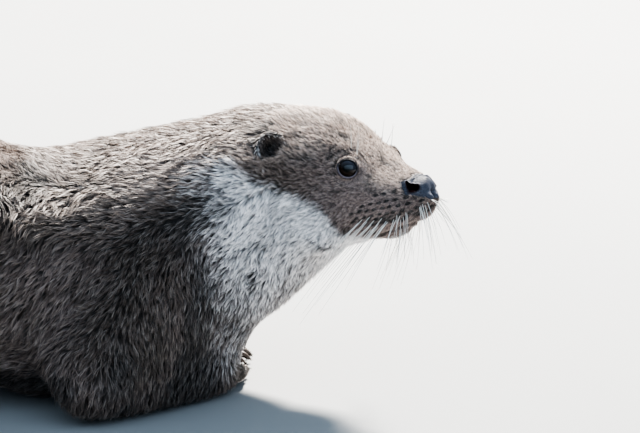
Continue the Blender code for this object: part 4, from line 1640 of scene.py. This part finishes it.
def markings_group():
    """The coat's colours: brown above, pale on cheeks and throat, dark follicles, painted sunlight
    where it faces up, painted rim light on the ears, and painted shade in partings, creases, the
    mouth's line and ear cups.
    """
    colours = {
        "Brown": BROWN,
        "Pale": PALE,
        "Face": FACE_BROWN,
        "Sunlit": SUNLIT_TONE,
        "Dark": DARK,
    }
    tree, maker, given, out = colour_group("markings", colours)
    where = maker.vector("root")
    broad = maker.noise(where, 22.0, 2.0)
    fine = maker.noise(where, 160.0, 3.0, 0.6)
    pale = maker.value("pale")
    uneven = maker.math("ADD", maker.range(fine, 0.3, 0.7, -0.12, 0.12), -0.04)
    uneven = maker.math("ADD", uneven, maker.range(maker.value("shade"), 0.0, 1.0, -0.3, 0.3))
    uneven = maker.math("ADD", uneven, maker.range(maker.value("reach"), 0.0, 1.0, -0.25, 0.25))
    edge = maker.math("MULTIPLY", maker.range(pale, 0.0, 0.3), maker.range(pale, 1.0, 0.7))
    pale = maker.math("ADD", pale, maker.math("MULTIPLY", uneven, edge))
    pale = maker.math("POWER", maker.range(pale, 0.12, 0.92), 1.8)
    brown = maker.mix(maker.range(broad, 0.35, 0.65, 0.0, 0.5), given["Brown"], given["Face"])
    brown = maker.mix(maker.value("face"), brown, given["Face"])
    # Painted sunlight on the coat where it faces up.
    painted_sunlight = maker.math("MULTIPLY", maker.value("painted_sunlight"), 0.8)
    brown = maker.mix(painted_sunlight, brown, given["Sunlit"])
    colour = maker.mix(pale, brown, given["Pale"])
    dots = maker.range(maker.value("dots"), 0.2, 0.5, 0.0, 0.95)
    colour = maker.mix(dots, colour, given["Dark"])
    # Painted shade in the partings, weaker on the pale coat.
    parting = maker.range(maker.value("streak"), -0.25, -0.7, 0.0, 0.7)
    parting = maker.math("MULTIPLY", parting, maker.range(pale, 0.0, 1.0, 1.0, 0.35))
    colour = maker.mix(parting, colour, given["Dark"])
    # Painted shade in the creases, the mouth's line and the ears' cups.
    crease_shade = maker.range(maker.value("crease_shade"), 0.3, 0.95, 0.0, 0.85)
    colour = maker.mix(crease_shade, colour, given["Dark"])
    maker.feed(out, colour)
    return tree


def coat_material(markings):
    """Hair with painted shade darkening it towards its root, and frosted tips that are partly paler
    hair and partly a painted sheen.
    """
    made, maker, shader = material(
        "coat", Roughness=COAT_ROUGHNESS, Specular_IOR_Level=0.5, Sheen_Weight=0.15
    )
    tone = maker.add("ShaderNodeGroup", node_tree=markings)
    reach, shade = maker.value("reach"), maker.value("shade")
    # Painted shade deep in the coat darkens each blade towards its root.
    light = maker.range(maker.math("POWER", reach, TONE_POWER), 0.0, 1.0, ROOT_SHADE, TIP_TONE)
    light = maker.math("MULTIPLY", light, maker.range(shade, 0.0, 1.0, 0.4, 1.6))
    grey = maker.add("ShaderNodeCombineColor", {0: light, 1: light, 2: light})
    colour = maker.mix(1.0, tone.outputs[0], grey.outputs[0], "MULTIPLY")
    # Frosted tips: partly paler hair, partly a painted sheen.
    near_tip = maker.range(reach, 0.35, 0.9)
    tip = maker.math("MULTIPLY", near_tip, maker.range(shade, 0.45, 1.0, 0.0, TIP_FROST))
    colour = maker.mix(tip, colour, FROSTED_SHEEN)
    maker.feed(shader["Base Color"], colour)
    return made


def skin_material(markings):
    """The skin: the coat's colours darkened under the hair, and dark leather where it is bare."""
    made, maker, shader = material("skin", Roughness=0.55, Specular_IOR_Level=0.35)
    tone = maker.add("ShaderNodeGroup", node_tree=markings)
    under = maker.mix(maker.value("face"), UNDERCOAT, FACE_UNDERCOAT)
    under = maker.mix(1.0, tone.outputs[0], under, "MULTIPLY")
    grain = maker.noise(maker.vector("root"), 900.0, 4.0, 0.65)
    bare = maker.mix(maker.range(grain, 0.35, 0.65), BARE_DARK, BARE_LIGHT)
    maker.feed(shader["Base Color"], maker.mix(maker.value("bare"), under, bare))
    maker.feed(shader["Normal"], maker.bump(grain, 0.5, 0.0004))
    return made


def nose_material():
    """Pebbled leather, with painted shade darkening its top and making the nostrils almost black.
    """
    made, maker, shader = material("nose_leather")
    where = maker.place()
    inputs = {"Vector": where, "Scale": 1900.0, "Smoothness": 0.35}
    cells = maker.add("ShaderNodeTexVoronoi", inputs, feature="SMOOTH_F1").outputs["Distance"]
    fine = maker.noise(where, 700.0, 4.0, 0.6)
    tone = maker.mix(maker.range(cells, 0.1, 0.75), NOSE_LIGHT, NOSE_DARK)
    tone = maker.mix(maker.range(fine, 0.35, 0.7, 0.0, 0.5), tone, NOSE_DARK)
    # Painted shade darkening the pad's top.
    tone = maker.mix(maker.math("MULTIPLY", maker.value("upper"), 0.75), tone, NOSE_DARK)
    # Painted shade making the nostrils almost black.
    tone = maker.mix(maker.range(maker.value("deep"), 0.1, 0.9), tone, NOSTRIL_SHADE)
    maker.feed(shader["Base Color"], tone)
    maker.feed(shader["Roughness"], maker.range(fine, 0.3, 0.7, 0.42, 0.6))
    gloss = maker.range(maker.value("deep"), 0.0, 0.8, 0.22, 0.0)
    maker.feed(shader["Specular IOR Level"], gloss)
    maker.feed(shader["Normal"], maker.bump(cells, 0.6, 0.0003, invert=True))
    return made


def eye_material():
    """The wet eye: a black pupil, a dark iris with fine streaks, and a painted sky reflection
    towards its top.
    """
    made, maker, shader = material("eye", Roughness=0.09, IOR=1.45)
    angle = maker.value("from_gaze")
    turn = maker.value("round_gaze")
    where = maker.add("ShaderNodeCombineXYZ", {"X": maker.math("MULTIPLY", turn, 9.0), "Y": angle})
    streaks = maker.noise(where.outputs[0], 3.0, 3.0)
    iris = maker.mix(streaks, IRIS_DARK, IRIS_LIGHT)
    colour = maker.mix(maker.range(angle, 0.36, 0.42), PUPIL, iris)
    colour = maker.mix(maker.range(angle, 0.74, 0.95), colour, PUPIL)
    height = maker.value("height")
    # Painted reflection of a pale sky over the eye's upper part.
    colour = maker.mix(maker.range(height, -0.1, 0.6, 0.0, 0.7), colour, SKY_REFLECTION)
    maker.feed(shader["Base Color"], colour)
    maker.feed(shader["Specular IOR Level"], maker.range(height, -0.25, 0.2, 0.12, 1.0))
    return made


def lid_material():
    """Bare skin, pale on the lower lid and dark on the upper."""
    made, maker, shader = material("lid", Roughness=0.6, Specular_IOR_Level=0.3)
    grain = maker.noise(maker.place(), 1200.0, 3.0)
    colour = maker.mix(maker.value("upper"), LID_PALE, LID_DARK)
    colour = maker.mix(maker.range(grain, 0.4, 0.7, 0.0, 0.35), colour, LID_DARK)
    maker.feed(shader["Base Color"], colour)
    maker.feed(shader["Normal"], maker.bump(grain, 0.4, 0.0003))
    return made


def two_tones(name):
    """A finish from TWO_TONES, whose grain wavers between its two tones."""
    roughness, specular, scale, detail, first, second = TWO_TONES[name]
    made, maker, shader = material(name, Roughness=roughness, Specular_IOR_Level=specular)
    grain = maker.noise(maker.place(), scale, detail)
    maker.feed(shader["Base Color"], maker.mix(grain, first, second))
    return made


def add_floor():
    """A wide floor at the model's feet."""
    corners = np.array([(-1, -1, 0), (1, -1, 0), (1, 1, 0), (-1, 1, 0)], float) * FLOOR_SIZE
    floor = mesh_object("floor", corners, np.array([(0, 1, 2, 3)]))
    floor.data.materials.append(two_tones("floor"))


def add_light(name, place, target, size, power, colour):
    """A rectangular light that looks at the target."""
    light = bpy.data.lights.new(name, "AREA")
    light.shape = "RECTANGLE"
    light.size, light.size_y = size
    light.energy = power
    light.color = colour
    obj = bpy.data.objects.new(name, light)
    bpy.context.scene.collection.objects.link(obj)
    obj.location = Vector(place)
    obj.rotation_euler = (Vector(target) - obj.location).to_track_quat("-Z", "Y").to_euler()


def add_lights():
    """The lights, the pale blue surroundings and the tones of the picture."""
    for name, place, size, power, colour in LIGHTS:
        add_light(name, place, Vector(CAMERA_TARGET) * MM, size, power, colour)
    world = bpy.data.worlds.new("studio")
    world.use_nodes = True
    background = world.node_tree.nodes["Background"].inputs
    background["Color"].default_value = (*WORLD_COLOUR, 1)
    background["Strength"].default_value = WORLD_STRENGTH
    bpy.context.scene.world = world
    bpy.context.scene.view_settings.view_transform = "AgX"
    bpy.context.scene.view_settings.look = "AgX - High Contrast"


def add_camera():
    """The camera, looking from the model's right side."""
    camera = bpy.data.cameras.new("camera")
    camera.sensor_width = SENSOR_WIDTH
    camera.lens = SENSOR_WIDTH * CAMERA_DISTANCE / VIEW_WIDTH
    camera.clip_end = 50
    obj = bpy.data.objects.new("camera", camera)
    bpy.context.scene.collection.objects.link(obj)
    lift = math.radians(CAMERA_ELEVATION)
    back = Vector((0, -math.cos(lift), math.sin(lift)))
    obj.location = (Vector(CAMERA_TARGET) + back * CAMERA_DISTANCE) * MM
    obj.rotation_euler = (-back).to_track_quat("-Z", "Y").to_euler()
    bpy.context.scene.camera = obj


def finish_piece(piece, finish, slot, *nodes):
    """Gives a piece its finish and ties it to the frame."""
    piece.data.materials.clear()
    piece.data.materials.append(finish)
    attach(piece, "root")
    if nodes:
        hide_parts(*nodes)


def main():
    """Dresses the frame's nodes."""
    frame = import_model()
    add_camera()
    add_lights()
    add_floor()
    solids = Solids(frame["nodes"])
    head = HeadFrame()
    skin = Skin(solids, head)
    markings = markings_group()
    skin_object = skin.make_object()
    unwrap(skin_object)
    flesh = [name for name in solids.names if name != "nose" and not name.startswith("eye")]
    finish_piece(skin_object, skin_material(markings), "coat", *flesh)
    coat = coat_material(markings)
    for piece in make_coat(skin, skin_object):
        finish_piece(piece, coat, "coat")
    finish_piece(nose_piece(skin), nose_material(), "nose_leather", "nose")
    glossy, rim = eye_material(), lid_material()
    for eye, (_, side) in zip(skin.eyes, SIDES):
        finish_piece(eyeball(eye, side, head), glossy, "eye", "eye_" + side)
        finish_piece(lid_rim(eye, side, head), rim, "nose_leather")
    finish_piece(make_claws(), two_tones("claw"), "claw")
    finish_piece(make_whiskers(skin), two_tones("whisker"), "whisker")


main()
